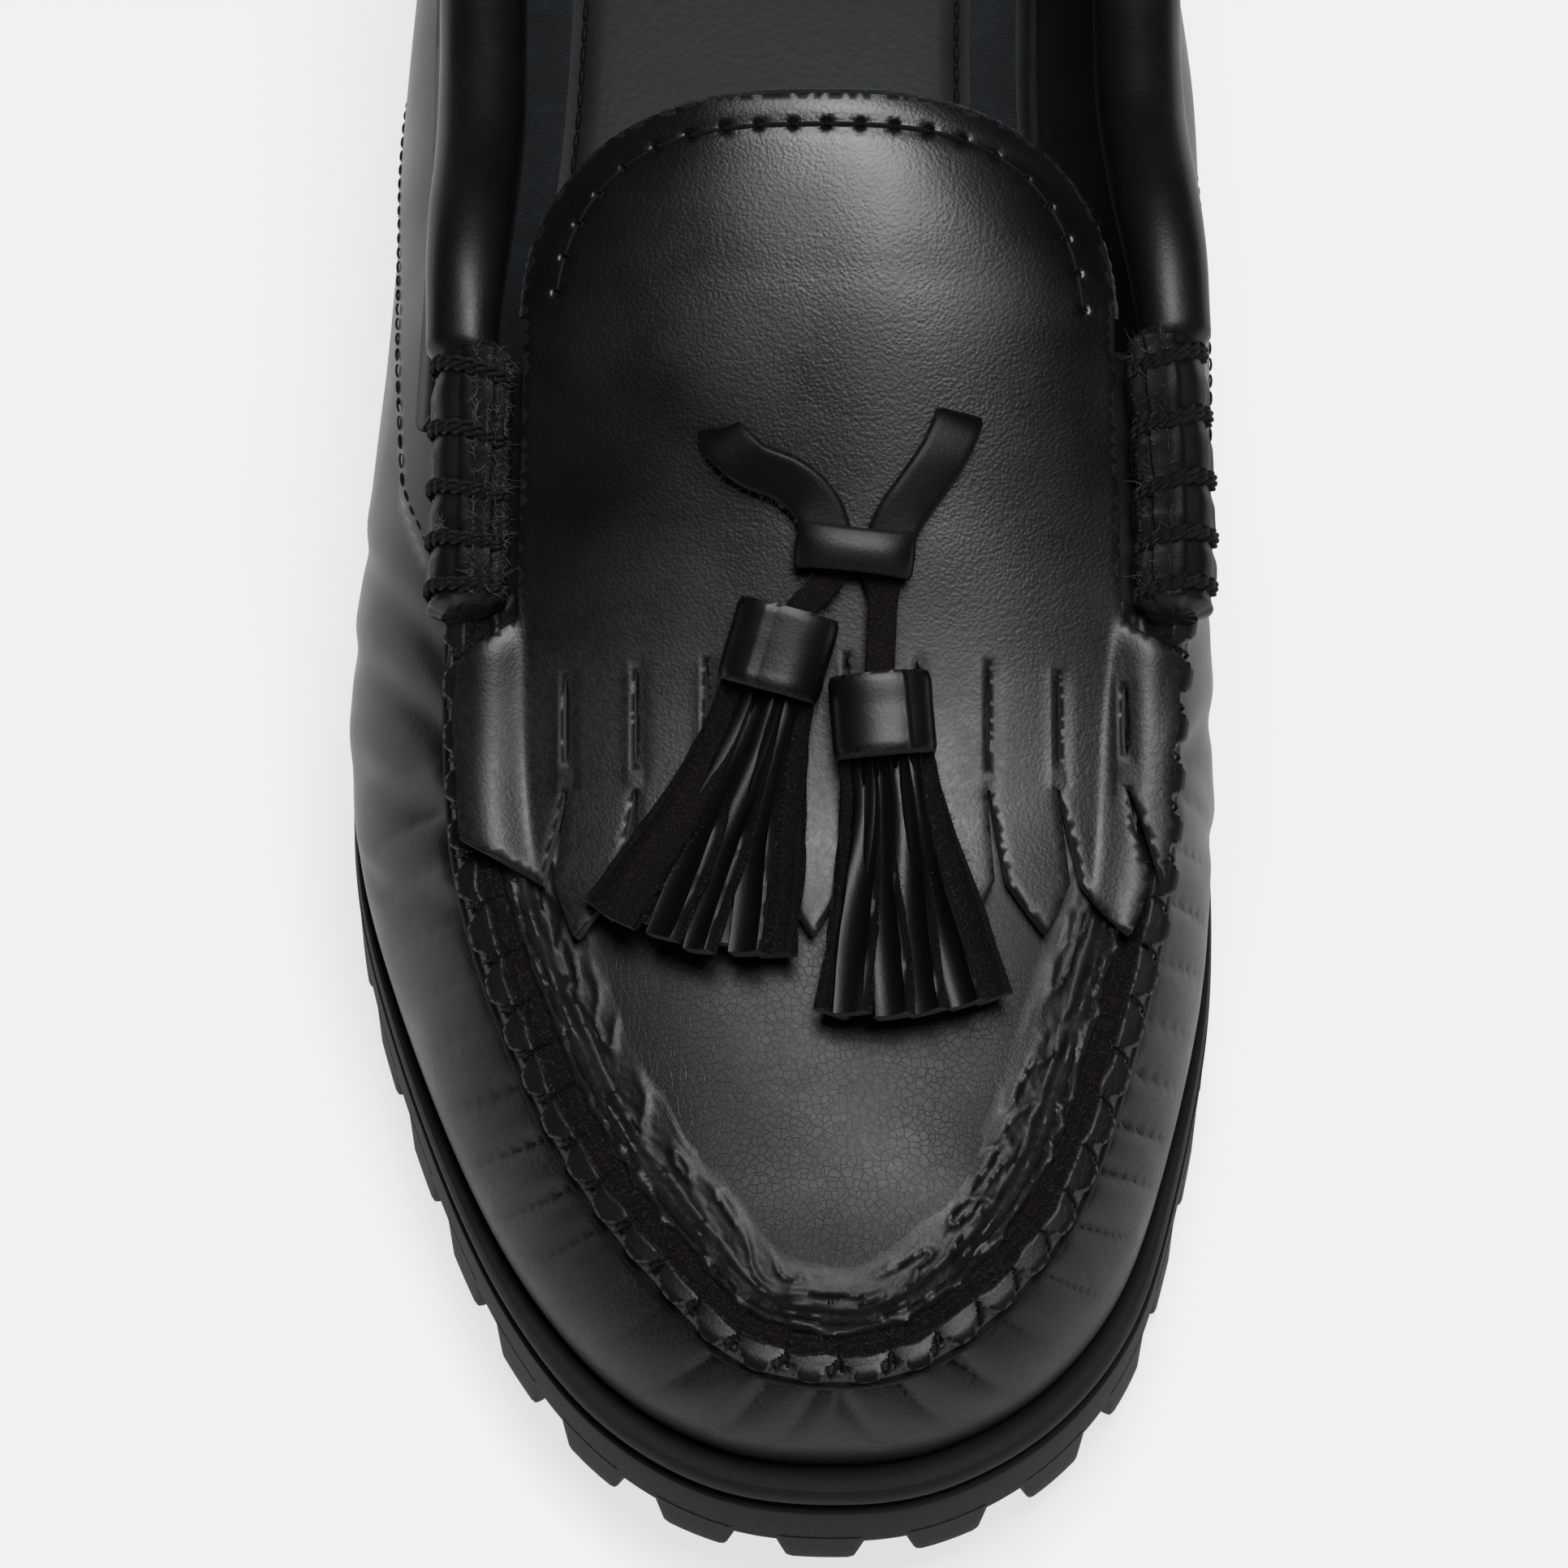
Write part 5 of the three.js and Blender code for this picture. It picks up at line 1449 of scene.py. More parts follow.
@dataclass
class Kiltie:
    """The fringed leather piece over the instep, with its slots, pointed tabs, holes and raw edges."""

    last: Last
    clear: float = 0.7 * MM
    thick: float = 1.8 * MM
    slot_start: float = 60.5 * MM
    slot_length: float = 13 * MM
    cut_start: float = 76 * MM
    flap_edge: float = 79 * MM
    shoulder: float = 86.8 * MM
    tab_tip: float = 92.5 * MM
    slots: int = 9
    slot_width: float = 1.5 * MM
    cut_bow: float = 2 * MM
    tab_fan: float = 0.1
    flap_inset: float = 1.5 * MM
    flap_clear: float = 4 * MM
    cuts_lateral: float = 13.6 * MM
    cuts_medial: float = 5.7 * MM
    fold: float = 9.5 * MM
    ridge_height: float = 1.8 * MM
    pitch: float = 0.85 * MM
    hole_pitch: float = 4 * MM
    hole_inset: float = 3.5 * MM

    def __post_init__(self) -> None:
        """Works out where the flaps start and where the slots lie."""
        ends = self.last.ring([RIM_RUNS["beefroll_lateral"][1], RIM_RUNS["beefroll_medial"][1]]).y
        self.flap_start = self.last.throat_back - float(ends.min()) + self.flap_clear
        row = self.ahead(self.cut_start)
        first = self.last.rim(Side.LATERAL, row)[0] + self.cuts_lateral
        end = self.last.rim(Side.MEDIAL, row)[0] - self.cuts_medial
        self.places = np.linspace(float(first), float(end), self.slots)

    def ahead(self, distance: Value) -> Value:
        """Y of a distance in front of the throat's back."""
        return self.last.throat_back - distance

    def bowed(self, x: Array, distance: Value, bow: float) -> Array:
        """Y of a row that bends back at the sides."""
        return self.ahead(distance) + bow * ((x - self.last.throat_middle) / self.last.throat_half) ** 2

    def fan(self, x: Array, distance: Array) -> Array:
        """How far the tabs spread sideways."""
        reach = (distance - self.cut_start) / (self.tab_tip - self.cut_start)
        return self.tab_fan * (x - self.last.throat_middle) * reach

    def outline(self) -> Array:
        """The piece's outline in plan: the throat, one flap, the tabs and the other flap."""
        last = self.last
        x, _ = last.throat_turn(np.linspace(0, pi, 97))
        rows = [np.stack([x, last.throat_y(x)], axis=1)]
        behind = self.flap_start - 4 * MM
        low = lambda d: float(last.rim(Side.LATERAL, self.ahead(d))[0])
        high = lambda d: float(last.rim(Side.MEDIAL, self.ahead(d))[0])
        down = np.linspace(self.flap_start, self.flap_edge, 12)
        notch = [(low(behind) + last.tongue_inset, self.ahead(behind))]
        worn = 0.35 * MM * wander(down, 4 * MM, 51)
        flap = [(low(d) + self.flap_inset + w, self.ahead(d)) for d, w in zip(down, worn)]
        rows.append(np.array(notch + flap))
        rows.append(self.tabs())
        flap = [(high(d) - self.flap_inset + w, self.ahead(d)) for d, w in zip(down[::-1], worn)]
        rows.append(np.array(flap + [(high(behind) - last.tongue_inset, self.ahead(behind))]))
        return np.concatenate(rows)

    def tabs(self) -> Array:
        """The cut edge: between two cuts a tab with straight flanks and a blunt tip."""
        points = []
        half = self.slot_width / 2

        def corner(x: float, distance: float, aside: float) -> None:
            """Adds a corner of the edge."""
            points.append((x + self.fan(x, distance) + aside, self.bowed(x + aside, distance, self.cut_bow)))

        lengths = np.array([1.0, 0.5, 0.85, 1.15, 1.0, 0.8, 0.45, 0.5]) * 0.7 * MM
        corner(self.places[0], self.shoulder, -half)
        for k, x in enumerate(self.places):
            for aside in (-0.2, 0.2):
                corner(x, self.cut_start, aside * half)
            corner(x, self.shoulder, half)
            if k + 1 == len(self.places):
                break
            beyond = self.places[k + 1]
            tip = (x + beyond) / 2
            flank = ((0.55, 0.6), (0.88, 0.93), (0.97, 0.995))
            for root, sign, shares in ((x, 1, flank), (beyond, -1, flank[::-1])):
                for share, reach in shares:
                    distance = mix(self.shoulder, self.tab_tip + lengths[k], reach)
                    corner(mix(root, tip, share), distance, sign * half * (1 - share))
            corner(beyond, self.shoulder, -half)
        return np.array(points)

    def slot_loops(self) -> list[Array]:
        """Outline of each slot: a slit that gapes in the middle and closes to points at its ends."""
        loops = []
        share = np.linspace(0, 1, 13)
        for k, x in enumerate(self.places):
            gape = self.slot_width * (0.2 + 0.06 * sin(5 * k)) * np.sin(pi * share) ** 0.4
            lean = 0.35 * MM * sin(3.1 * k) * (share - 0.5)
            near = self.bowed(x, self.slot_start, -self.cut_bow / 2)
            far = self.bowed(x, self.slot_start + self.slot_length, 1.5 * self.cut_bow)
            y = mix(near, far, share)
            left = np.stack([x + lean - gape, y], axis=1)
            right = np.stack([x + lean + gape, y], axis=1)
            loops.append(np.concatenate([left, right[::-1][1:-1]]))
        return loops

    def lift(self, x: Array, y: Array) -> Array:
        """How far the piece stands off the instep: over the seam at the flaps, and curled at its edges."""
        low, high = self.last.rim(Side.LATERAL, y)[0], self.last.rim(Side.MEDIAL, y)[0]
        inside = np.minimum(x - low, high - x)
        on_ridge = smooth(0, 1, (self.fold - inside) / (5.5 * MM))
        seam = smooth(0, 1, (self.ahead(self.flap_start) - y) / (8 * MM) + 1)
        over = (self.ridge_height + GAP) * on_ridge * seam
        curl = 0.8 * MM * smooth(40 * MM, 47 * MM, x) * smooth(-55 * MM, -66 * MM, y)
        flap = 0.5 * MM * smooth(-30 * MM, -38 * MM, x) * smooth(-60 * MM, -74 * MM, y)
        tips = 0.9 * MM * smooth(self.ahead(self.cut_start), self.ahead(self.tab_tip), y)
        return self.clear + over + curl + flap + tips * 0.6

    def relief(self, x: Array, y: Array, holes: Array, edge: Array) -> Array:
        """Relief of the grain side: lips, a pressed border, needle holes and a worn rounded edge.

        Args:
            x: Places across, one a point.
            y: Places along.
            holes: Places of the needle holes.
            edge: Each point's distance from the nearest edge.

        Returns:
            A height for each point.
        """
        d = edge / MM
        height = -0.12 * MM * (1 - smooth(0, 0.5, d)) ** 2
        throat = (self.last.throat_y(x) - y) / MM
        border = hump(throat, self.hole_inset / MM, 0.7)
        height = height - 0.22 * MM * border * (y > self.ahead(30 * MM))
        nearest = np.min(np.hypot(x[:, None] - holes[:, 0], y[:, None] - holes[:, 1]), axis=1)
        height = height - 0.9 * MM * hump(nearest, 0, 0.36 * MM)
        for place in self.places:
            along = smooth(self.ahead(self.slot_start - 1 * MM), self.ahead(self.slot_start + 2 * MM), y)
            along = along * smooth(self.ahead(self.slot_start + self.slot_length + 2.5 * MM),
                                   self.ahead(self.slot_start + self.slot_length), y)
            side = (x - place) / MM
            height = height + 0.1 * MM * along * (hump(side, -0.8, 0.5) - hump(side, 0.8, 0.5))
        return height + 0.05 * MM * wander2(x, y, 9 * MM, 61)

    def hole_places(self) -> Array:
        """Places of the needle holes, a pitch apart, inside the throat's edge."""
        x, depth = self.last.throat_turn(np.linspace(0.06, pi - 0.06, 400), self.hole_inset)
        line = np.stack([x, self.last.throat_back - self.hole_inset - depth * 0.97], axis=1)
        run = run_of(line)
        at = np.arange(self.hole_pitch / 2, run[-1], self.hole_pitch)
        return along_line(line, run, at)

    def sheet(self) -> Triple:
        """The piece in plan as triangles.

        Returns:
            Its points, its triangles and each point's distance from the nearest edge.
        """
        def fine(loop: Array) -> Array:
            """The loop with no side longer than the pitch."""
            beyond = np.roll(loop, -1, axis=0)
            pieces = []
            for a, b in zip(loop, beyond):
                n = max(1, ceil(float(np.hypot(*(b - a))) / self.pitch))
                pieces.append(mix(a, b, (np.arange(n) / n)[:, None]))
            return np.concatenate(pieces)

        loops = [fine(loop) for loop in (self.outline(), *self.slot_loops())]
        past = 1.5 * MM
        along = np.arange(self.slot_start - past, self.slot_start + self.slot_length + past, 0.5 * MM)
        along = self.ahead(along)
        beside = np.array([-1.6, -1.15, -0.75, 0.75, 1.15, 1.6]) * MM
        x, y, aside = np.meshgrid(self.places, along, beside, indexing="ij")
        extra = [np.stack([(x + aside).ravel(), y.ravel()], axis=1)]
        holes = self.hole_places()
        for radius, count in ((0, 1), (0.25, 6), (0.5, 8), (0.85, 10)):
            turn = np.arange(count) * 2 * pi / count
            ring = radius * MM * np.stack([np.cos(turn), np.sin(turn)], axis=1)
            extra.append((holes[:, None] + ring).reshape(-1, 2))
        low, high = loops[0].min(axis=0), loops[0].max(axis=0)
        x, y = np.meshgrid(np.arange(low[0], high[0], self.pitch),
                           np.arange(low[1], high[1], self.pitch * 0.87))
        x = x + self.pitch / 2 * (np.arange(len(x)) % 2)[:, None]
        grid = np.stack([x.ravel(), y.ravel()], axis=1)
        by_slot = np.abs(grid[:, :1] - self.places).min(axis=1) < 1.9 * MM
        by_slot &= (grid[:, 1] < along[0]) & (grid[:, 1] > along[-1])
        by_hole = np.linalg.norm(grid[:, None] - holes, axis=2).min(axis=1) < 1.1 * MM
        grid = np.concatenate([grid[~by_slot & ~by_hole], *extra])
        grid = grid[self.to_edges(grid, loops) > 0.25 * MM]
        points = np.concatenate([*loops, grid])
        edges, start = [], 0
        for loop in loops:
            ids = np.arange(len(loop)) + start
            edges += list(zip(ids.tolist(), np.roll(ids, -1).tolist()))
            start += len(loop)
        found = delaunay_2d_cdt([Vector(p) for p in (points / MM).tolist()], edges, [], 0, 1e-4)
        plan = np.array([tuple(v) for v in found[0]]) * MM
        triangles = np.array(found[2])
        centre = plan[triangles].mean(axis=1)
        inside = self.within(centre, loops[0])
        for loop in loops[1:]:
            inside &= ~self.within(centre, loop)
        triangles = triangles[inside]
        kept, same = np.unique(triangles, return_inverse=True)
        plan = plan[kept]
        return plan, same.reshape(triangles.shape), self.to_edges(plan, loops)

    @staticmethod
    def within(points: Array, loop: Array) -> Array:
        """Whether each point of the plan lies inside a loop."""
        a, b = loop, np.roll(loop, -1, axis=0)
        crosses = (a[:, 1] > points[:, None, 1]) != (b[:, 1] > points[:, None, 1])
        rise = np.where(np.abs(b[:, 1] - a[:, 1]) < 1e-12, 1e-12, b[:, 1] - a[:, 1])
        at = (b[:, 0] - a[:, 0]) * (points[:, None, 1] - a[:, 1]) / rise + a[:, 0]
        return (crosses & (points[:, None, 0] < at)).sum(axis=1) % 2 == 1

    @staticmethod
    def to_edges(points: Array, loops: list[Array]) -> Array:
        """Distance of each point of the plan from the nearest side of the loops."""
        nearest = np.full(len(points), np.inf)
        for loop in loops:
            a, b = loop, np.roll(loop, -1, axis=0)
            for start in range(0, len(a), 64):
                p, q = a[start:start + 64], b[start:start + 64]
                way = q - p
                t = ((points[:, None] - p) * way).sum(axis=2) / np.maximum((way**2).sum(axis=1), 1e-18)
                gap = points[:, None] - (p + np.clip(t, 0, 1)[..., None] * way)
                nearest = np.minimum(nearest, np.hypot(gap[..., 0], gap[..., 1]).min(axis=1))
        return nearest

    def build(self) -> None:
        """Builds the piece, its backing along the throat and its fibres."""
        plan, triangles, edge = self.sheet()
        x, y = plan[:, 0], plan[:, 1]
        base = self.last.over_instep(x, y, self.lift(x, y))
        triangles = turned(triangles, base)
        height = self.thick + self.relief(x, y, self.hole_places(), edge)
        piece = Piece("kiltie_sheet")
        fringed = smooth(self.ahead(46 * MM), self.ahead(64 * MM), y)
        wear = 0.2 * (1 - smooth(0, 2.5 * MM, edge)) + 0.8 * fringed
        sheet_solid(piece, base, triangles, height, 0.0, (0, 1, 1), wear, edge_rows=2)
        piece.build([Skin.KILTIE, Skin.SPLIT], "kiltie_leather", ["kiltie"])

        threads = Piece("kiltie_stitches")
        line = self.hole_places()
        for start, end in zip(line[:-1], line[1:]):
            t = np.linspace(0.1, 0.9, 9)
            place = mix(start, end, t[:, None])
            rise = self.thick + self.lift(place[:, 0], place[:, 1]) - 0.35 * MM + 0.3 * MM * np.sin(pi * t)
            add_thread(threads, self.last.over_instep(place[:, 0], place[:, 1], rise), 0.3 * MM)
        threads.build([Skin.THREAD], "kiltie_leather")

        backing = Piece("kiltie_backing")
        turn = np.linspace(0.02, pi - 0.02, 260)
        last = self.last
        x, depth = last.throat_turn(turn, -0.2 * MM)
        y = last.throat_back - depth
        line = last.over_instep(x, y, 0.55 * MM)
        side_way, up = path_frames(line, last.instep_normal(x, y))
        wobble = 0.25 * MM * wander(turn, 0.03, 71)
        line = line + up * wobble[:, None]
        backing.add_tube(tube_sections(line, side_way, up, 1.1 * MM, 0.5 * MM, 10, 3.0), 0, raw=1.0)
        way = unit(up * 0.8 + np.array((0, 0.6, 0)))
        add_fibres(backing, line, way, 1500, 1.3 * MM, 72)
        backing.build([Skin.TEAL_SPLIT], "kiltie_leather", weld=False)


@dataclass(frozen=True)
class Half:
    """One of the two tassels: its lace's points of the plan, its cap and the strips of its skirt.

    across is a share of the throat's half width from its middle, down a share of the way from the throat to
    the slots, and angles run from straight towards the toe.
    """

    side: Side
    lace: tuple[tuple[float, float, float], ...]
    cap: tuple[float, float]
    turn: float
    strips: tuple[tuple[float, ...], ...]


@dataclass
class Tassel:
    """The tassel: two flat laces through a ring, each into a wrapped cap with a skirt of cut strips."""

    last: Last
    kiltie: Kiltie
    lace_width: float = 5.9 * MM
    lace_thick: float = 1.8 * MM
    ring_at: tuple[float, float] = (-0.082, 0.80)
    ring_turn: float = 1.45
    ring_size: tuple[float, float, float] = (14.2 * MM, 5.5 * MM, 5 * MM)
    cap_size: tuple[float, float, float] = (9.6 * MM, 12.4 * MM, 7.5 * MM)
    reach: float = 31 * MM
    strip_width: float = 4.3 * MM

    # Lace rows: across, down, height over the kiltie in mm. Strip rows: place across the cap from -1 to 1,
    # angle, length share, layer, twist, and 1 where the fuzzy side lies outwards.
    HALVES = (
        Half(Side.LATERAL,
             ((-0.335, 0.60, -1.6), (-0.32, 0.617, 0.5), (-0.23, 0.66, 1.4), (-0.10, 0.69, 1.6),
              (-0.01, 0.735, 1.6), (0.03, 0.79, 1.4), (0.05, 0.84, 1.3), (0.02, 0.875, 1.8),
              (-0.05, 0.91, 2.8), (-0.1, 0.95, 3.5), (-0.13, 0.985, 3.6)),
             (-0.095, 0.919), -0.283,
             ((-0.95, -0.62, 0.96, 0, 0.5, 1), (-0.66, -0.50, 0.99, 1, -0.2, 1),
              (-0.25, -0.37, 1.0, 1, -0.5, 0), (0.2, -0.25, 1.02, 1, -0.55, 0),
              (0.62, -0.12, 1.0, 1, -0.5, 0), (0.95, -0.05, 0.97, 0, -0.4, 1),
              (-0.4, -0.45, 0.95, 0, 0, 0), (0.0, -0.31, 0.97, 0, 0, 0), (0.4, -0.18, 0.96, 0, 0, 0))),
        Half(Side.MEDIAL,
             ((0.475, 0.57, -1.6), (0.465, 0.585, 0.5), (0.415, 0.64, 1.4), (0.34, 0.7, 1.6),
              (0.275, 0.75, 1.6), (0.235, 0.80, 1.4), (0.215, 0.85, 1.3), (0.215, 0.90, 1.5),
              (0.21, 0.96, 2.0), (0.204, 1.02, 3.0), (0.205, 1.075, 3.6), (0.21, 1.12, 3.6)),
             (0.202, 1.041), 0.085,
             ((-0.95, -0.13, 0.98, 0, 0.5, 1), (-0.66, -0.06, 1.0, 1, -0.5, 0),
              (-0.25, 0.04, 1.01, 1, -0.45, 0), (0.2, 0.13, 1.0, 1, -0.5, 0),
              (0.64, 0.22, 0.98, 1, -0.5, 0), (0.95, 0.32, 0.95, 0, -0.5, 1),
              (-0.4, 0.0, 0.96, 0, 0, 0), (0.0, 0.1, 0.95, 0, 0, 0), (0.4, 0.18, 0.97, 0, 0, 0))),
    )

    def place(self, across: Value, down: Value) -> tuple[Array, Array]:
        """X and y of shares of the throat."""
        x = self.last.throat_middle + self.last.throat_half * np.asarray(across, float)
        return x, self.kiltie.ahead(self.kiltie.slot_start * np.asarray(down, float))

    def over(self, x: Array, y: Array, height: Value) -> Array:
        """Points a height over the kiltie's grain side."""
        top = self.kiltie.clear + self.kiltie.thick + 2 * GAP
        return self.last.over_instep(x, y, top + height)

    def build(self) -> None:
        ring = self.add_ring()
        for half in self.HALVES:
            name = half.side.name.lower()
            rows = np.array(half.lace)
            x, y = self.place(rows[:, 0], rows[:, 1])
            path = smooth_path(self.over(x, y, rows[:, 2] * MM), 64)
            lace = self.add_lace(name, path)
            cap = self.add_cap(name, half)
            skirt = self.add_skirt(name, half)
            tuple(path[0])

    def add_lace(self, name: str, path: Array) -> Object:
        """A flat lace, grain outwards, with raw edges.

        Args:
            name: The side's name.
            path: Points of its middle line.

        Returns:
            The lace.
        """
        share = np.linspace(0, 1, len(path))
        on_edge = np.array((0, -0.5, 0)) * (smooth(0.08, 0.25, share) - smooth(0.3, 0.5, share))[:, None]
        across, up = path_frames(path, unit(self.last.instep_normal(path[:, 0], path[:, 1]) + on_edge))
        wide = self.lace_width / 2 * mix(1.0, 0.6, smooth(0.5, 0.66, share))
        sections = tube_sections(path, across, up, wide, self.lace_thick / 2, 20, 5.0)
        sections = sections + up[:, None] * 0.08 * MM * wander(np.arange(len(path)), 5, 81)[:, None, None]
        a, _ = oval_turns(20, 5.0)
        piece = Piece(f"tassel_lace_{name}")
        past = mix(0.1, 0.95, smooth(0.48, 0.62, share))
        piece.add_tube(sections, 0, 1, raw=np.maximum((np.abs(a) > 0.97) * 0.95, past[:, None]))
        for sign in (-1, 1):
            line = path + across * (sign * 0.93 * wide)[:, None] + up * 0.2 * self.lace_thick
            add_fibres(piece, line, across * sign + up * 0.5, 300, 1.1 * MM, 83 + sign, 1, 0.045 * MM)
        return piece.build([Skin.STRIP, Skin.SPLIT], "lace_leather", [f"thong_{name}", f"strand_{name}"],
                           weld=False)

    def add_ring(self) -> Object:
        """The band round both laces: flat leather, grain outwards, lapped over itself underneath."""
        long, wide, high = self.ring_size
        x0, y0 = self.place(*self.ring_at)
        x = x0 + sin(self.ring_turn) * long / 2
        y = y0 - cos(self.ring_turn) * long / 2
        middle = self.over(x, y, high / 2)
        normal = self.last.instep_normal(x, y)
        along = unit(np.cross(np.cross(normal, (sin(self.ring_turn), -cos(self.ring_turn), 0)), normal))
        across = np.cross(normal, along)
        turn = full_turn(72)
        a, b = oval_turns(72, 2.6)
        band, thick = wide / 2, 1.1 * MM
        sections = []
        profile = ((-1, 0.0), (-1, 0.75), (-0.8, 1.0), (0, 1.12), (0.8, 1.0), (1, 0.75), (1, 0.0), (0, 0.1))
        pinch = 1 + 0.05 * np.cos(2 * turn)
        for side, depth in profile:
            grow = thick * (depth - 1)
            width, rise = a * (long / 2 + grow), b * (high / 2 + grow)
            ring = middle + along * width[:, None] + normal * rise[:, None]
            sections.append(ring + across * (side * band * pinch)[:, None])
        piece = Piece("tassel_band")
        raw = (0.9, 0.8, 0.2, 0, 0.2, 0.8, 0.9, 1.0)
        piece.add_tube(np.stack(sections, axis=1), endless=True, raw=raw)
        return piece.build([Skin.CALF], "lace_leather", ["tassel_ring"])

    def cap_frame(self, half: Half, share: Array) -> Triple:
        """Middle line of a cap, the way across it and the way out of it."""
        long, _, high = self.cap_size
        x0, y0 = self.place(*half.cap)
        x, y = x0 + sin(half.turn) * long * share, y0 - cos(half.turn) * long * share
        middle = self.over(x, y, high / 2)
        across, up = path_frames(middle, self.last.instep_normal(x, y))
        return middle, -across, up

    def add_cap(self, name: str, half: Half) -> Object:
        """The cap: leather rolled round the lace and the strips, lapped at one side, its ends cut raw.

        Args:
            name: The side's name.
            half: Places of this side's tassel.

        Returns:
            The cap.
        """
        _, wide, high = self.cap_size
        share = np.linspace(0, 1, 26)
        middle, across, up = self.cap_frame(half, share)
        turn = full_turn(72)
        a, b = oval_turns(72, 2.35)
        lap = 1.045 - 0.08 * (np.mod(turn - (1.9 if half.side is Side.LATERAL else 1.2), 2 * pi) / (2 * pi))
        full = 1 - 0.05 * hump(share, 0, 0.05) - 0.04 * hump(share, 1, 0.05)
        dent = 1 + 0.01 * wander2(share[:, None] * 20 * MM, turn * 5 * MM, 4 * MM, 91 + half.side.value)
        size = full[:, None] * lap * dent
        rows = sections_of(middle, across, up, a * wide / 2 * size, b * high / 2 * size)
        piece = Piece(f"tassel_cap_{name}_wrap")
        piece.add_grid(rows, 0, closed=True)
        for end, step in ((0, 1), (-1, -1)):
            centre = rows[end].mean(axis=0)
            depth = (middle[step] - middle[0 if step == 1 else -1]) * 2.2
            inner = mix(centre, rows[end], 0.78)
            rings = np.stack([rows[end], mix(rows[end], inner, 0.5) - depth * 0.06, inner, inner + depth,
                              mix(centre, inner, 0.4) + depth * 0.6, mix(centre, inner, 0.02) + depth * 0.8])
            piece.add_grid(rings, 1, closed=True, raw=1.0)
        return piece.build([Skin.CALF, Skin.SPLIT], "upper_leather", [f"tassel_cap_{name}"])

    def add_skirt(self, name: str, half: Half) -> Object:
        """The skirt: thick strips with grain on top, fuzzy cut flanks and square ends.

        Args:
            name: The side's name.
            half: Places of this side's tassel.

        Returns:
            The skirt.
        """
        long, wide, _ = self.cap_size
        x0, y0 = self.place(*half.cap)
        mouth = (x0 + sin(half.turn) * (long - 2 * MM), y0 - cos(half.turn) * (long - 2 * MM))
        piece = Piece(f"tassel_skirt_{name}")
        random = np.random.default_rng(100 + half.side.value)
        t = np.linspace(0, 1, 30)
        for side, angle, reach, layer, twist, suede in half.strips:
            beside = side * (wide / 2 - self.strip_width * 0.45)
            length = self.reach * reach + 1.5 * MM
            bend = angle + (half.turn - angle) * (1 - t) ** 3 + 0.05 * np.sin(5 * t + 7 * side)
            step = length / (len(t) - 1)
            x = mouth[0] + cos(half.turn) * beside + np.cumsum(np.sin(bend)) * step
            y = mouth[1] + sin(half.turn) * beside - np.cumsum(np.cos(bend)) * step
            rest = mix(1.1, 2.9, layer) * MM
            height = mix(2.7 * MM, rest, smooth(0, 0.4, t)) + layer * 0.35 * MM * np.sin(3 * t + side)
            path = self.over(x, y, height)
            across, up = path_frames(path, self.last.instep_normal(x, y))
            roll = twist * smooth(0.1, 0.7, t)[:, None]
            across, up = across * np.cos(roll) + up * np.sin(roll), up * np.cos(roll) - across * np.sin(roll)
            half_wide = self.strip_width / 2 * (1 + 0.06 * random.standard_normal())
            half_wide = half_wide * mix(0.68, 1.05, smooth(0, 0.8, t))
            half_high = 0.95 * MM * (1 + 0.1 * random.standard_normal())
            seed = int(random.integers(1, 999))
            self.add_strip(piece, path, across, up, half_wide, half_high, bool(suede), seed)
        return piece.build([Skin.STRIP, Skin.SPLIT], "lace_leather", [f"fringe_{name}"], crease_deg=50,
                           weld=False)

    def add_strip(self, piece: Piece, path: Array, across: Array, up: Array, wide: Array, high: float,
                  suede: bool, seed: int) -> None:
        """One cut strip: its face a little hollow between two raised edges, and fibres along its flanks.

        Args:
            piece: Where it goes.
            path: Points of its middle line.
            across: Directions across it.
            up: Directions out of its face.
            wide: Half its width at each point.
            high: Half its thickness.
            suede: Whether the fuzzy side lies outwards.
            seed: Picks its roughness and its fibres.
        """
        shape = np.array([(-1, -0.8), (-1, 0.5), (-0.95, 1.0), (-0.82, 1.25), (-0.66, 1.0), (0, 0.6),
                          (0.66, 1.0), (0.82, 1.25), (0.95, 1.0), (1, 0.5), (1, -0.8), (0, -1)])
        rough = 0.07 * wander2(np.arange(len(path))[:, None], np.arange(len(shape)) * 3, 2.2, seed)
        a, b = shape[:, 0] * (1 + rough), shape[:, 1] * (1 + rough)
        sections = sections_of(path, across, up, a * wide[:, None], b * high)
        grain = 0.95 if suede else (1, 0.9, 0.1, 0, 0, 0, 0, 0, 0.1, 0.9, 1, 1)
        piece.add_tube(sections, 0, 1, raw=grain)
        for sign in (-1, 1):
            line = path + across * (sign * wide)[:, None] - up * high * 0.2
            add_fibres(piece, line, across * sign + up, 150, 0.9 * MM, seed + sign, 1, 0.045 * MM)


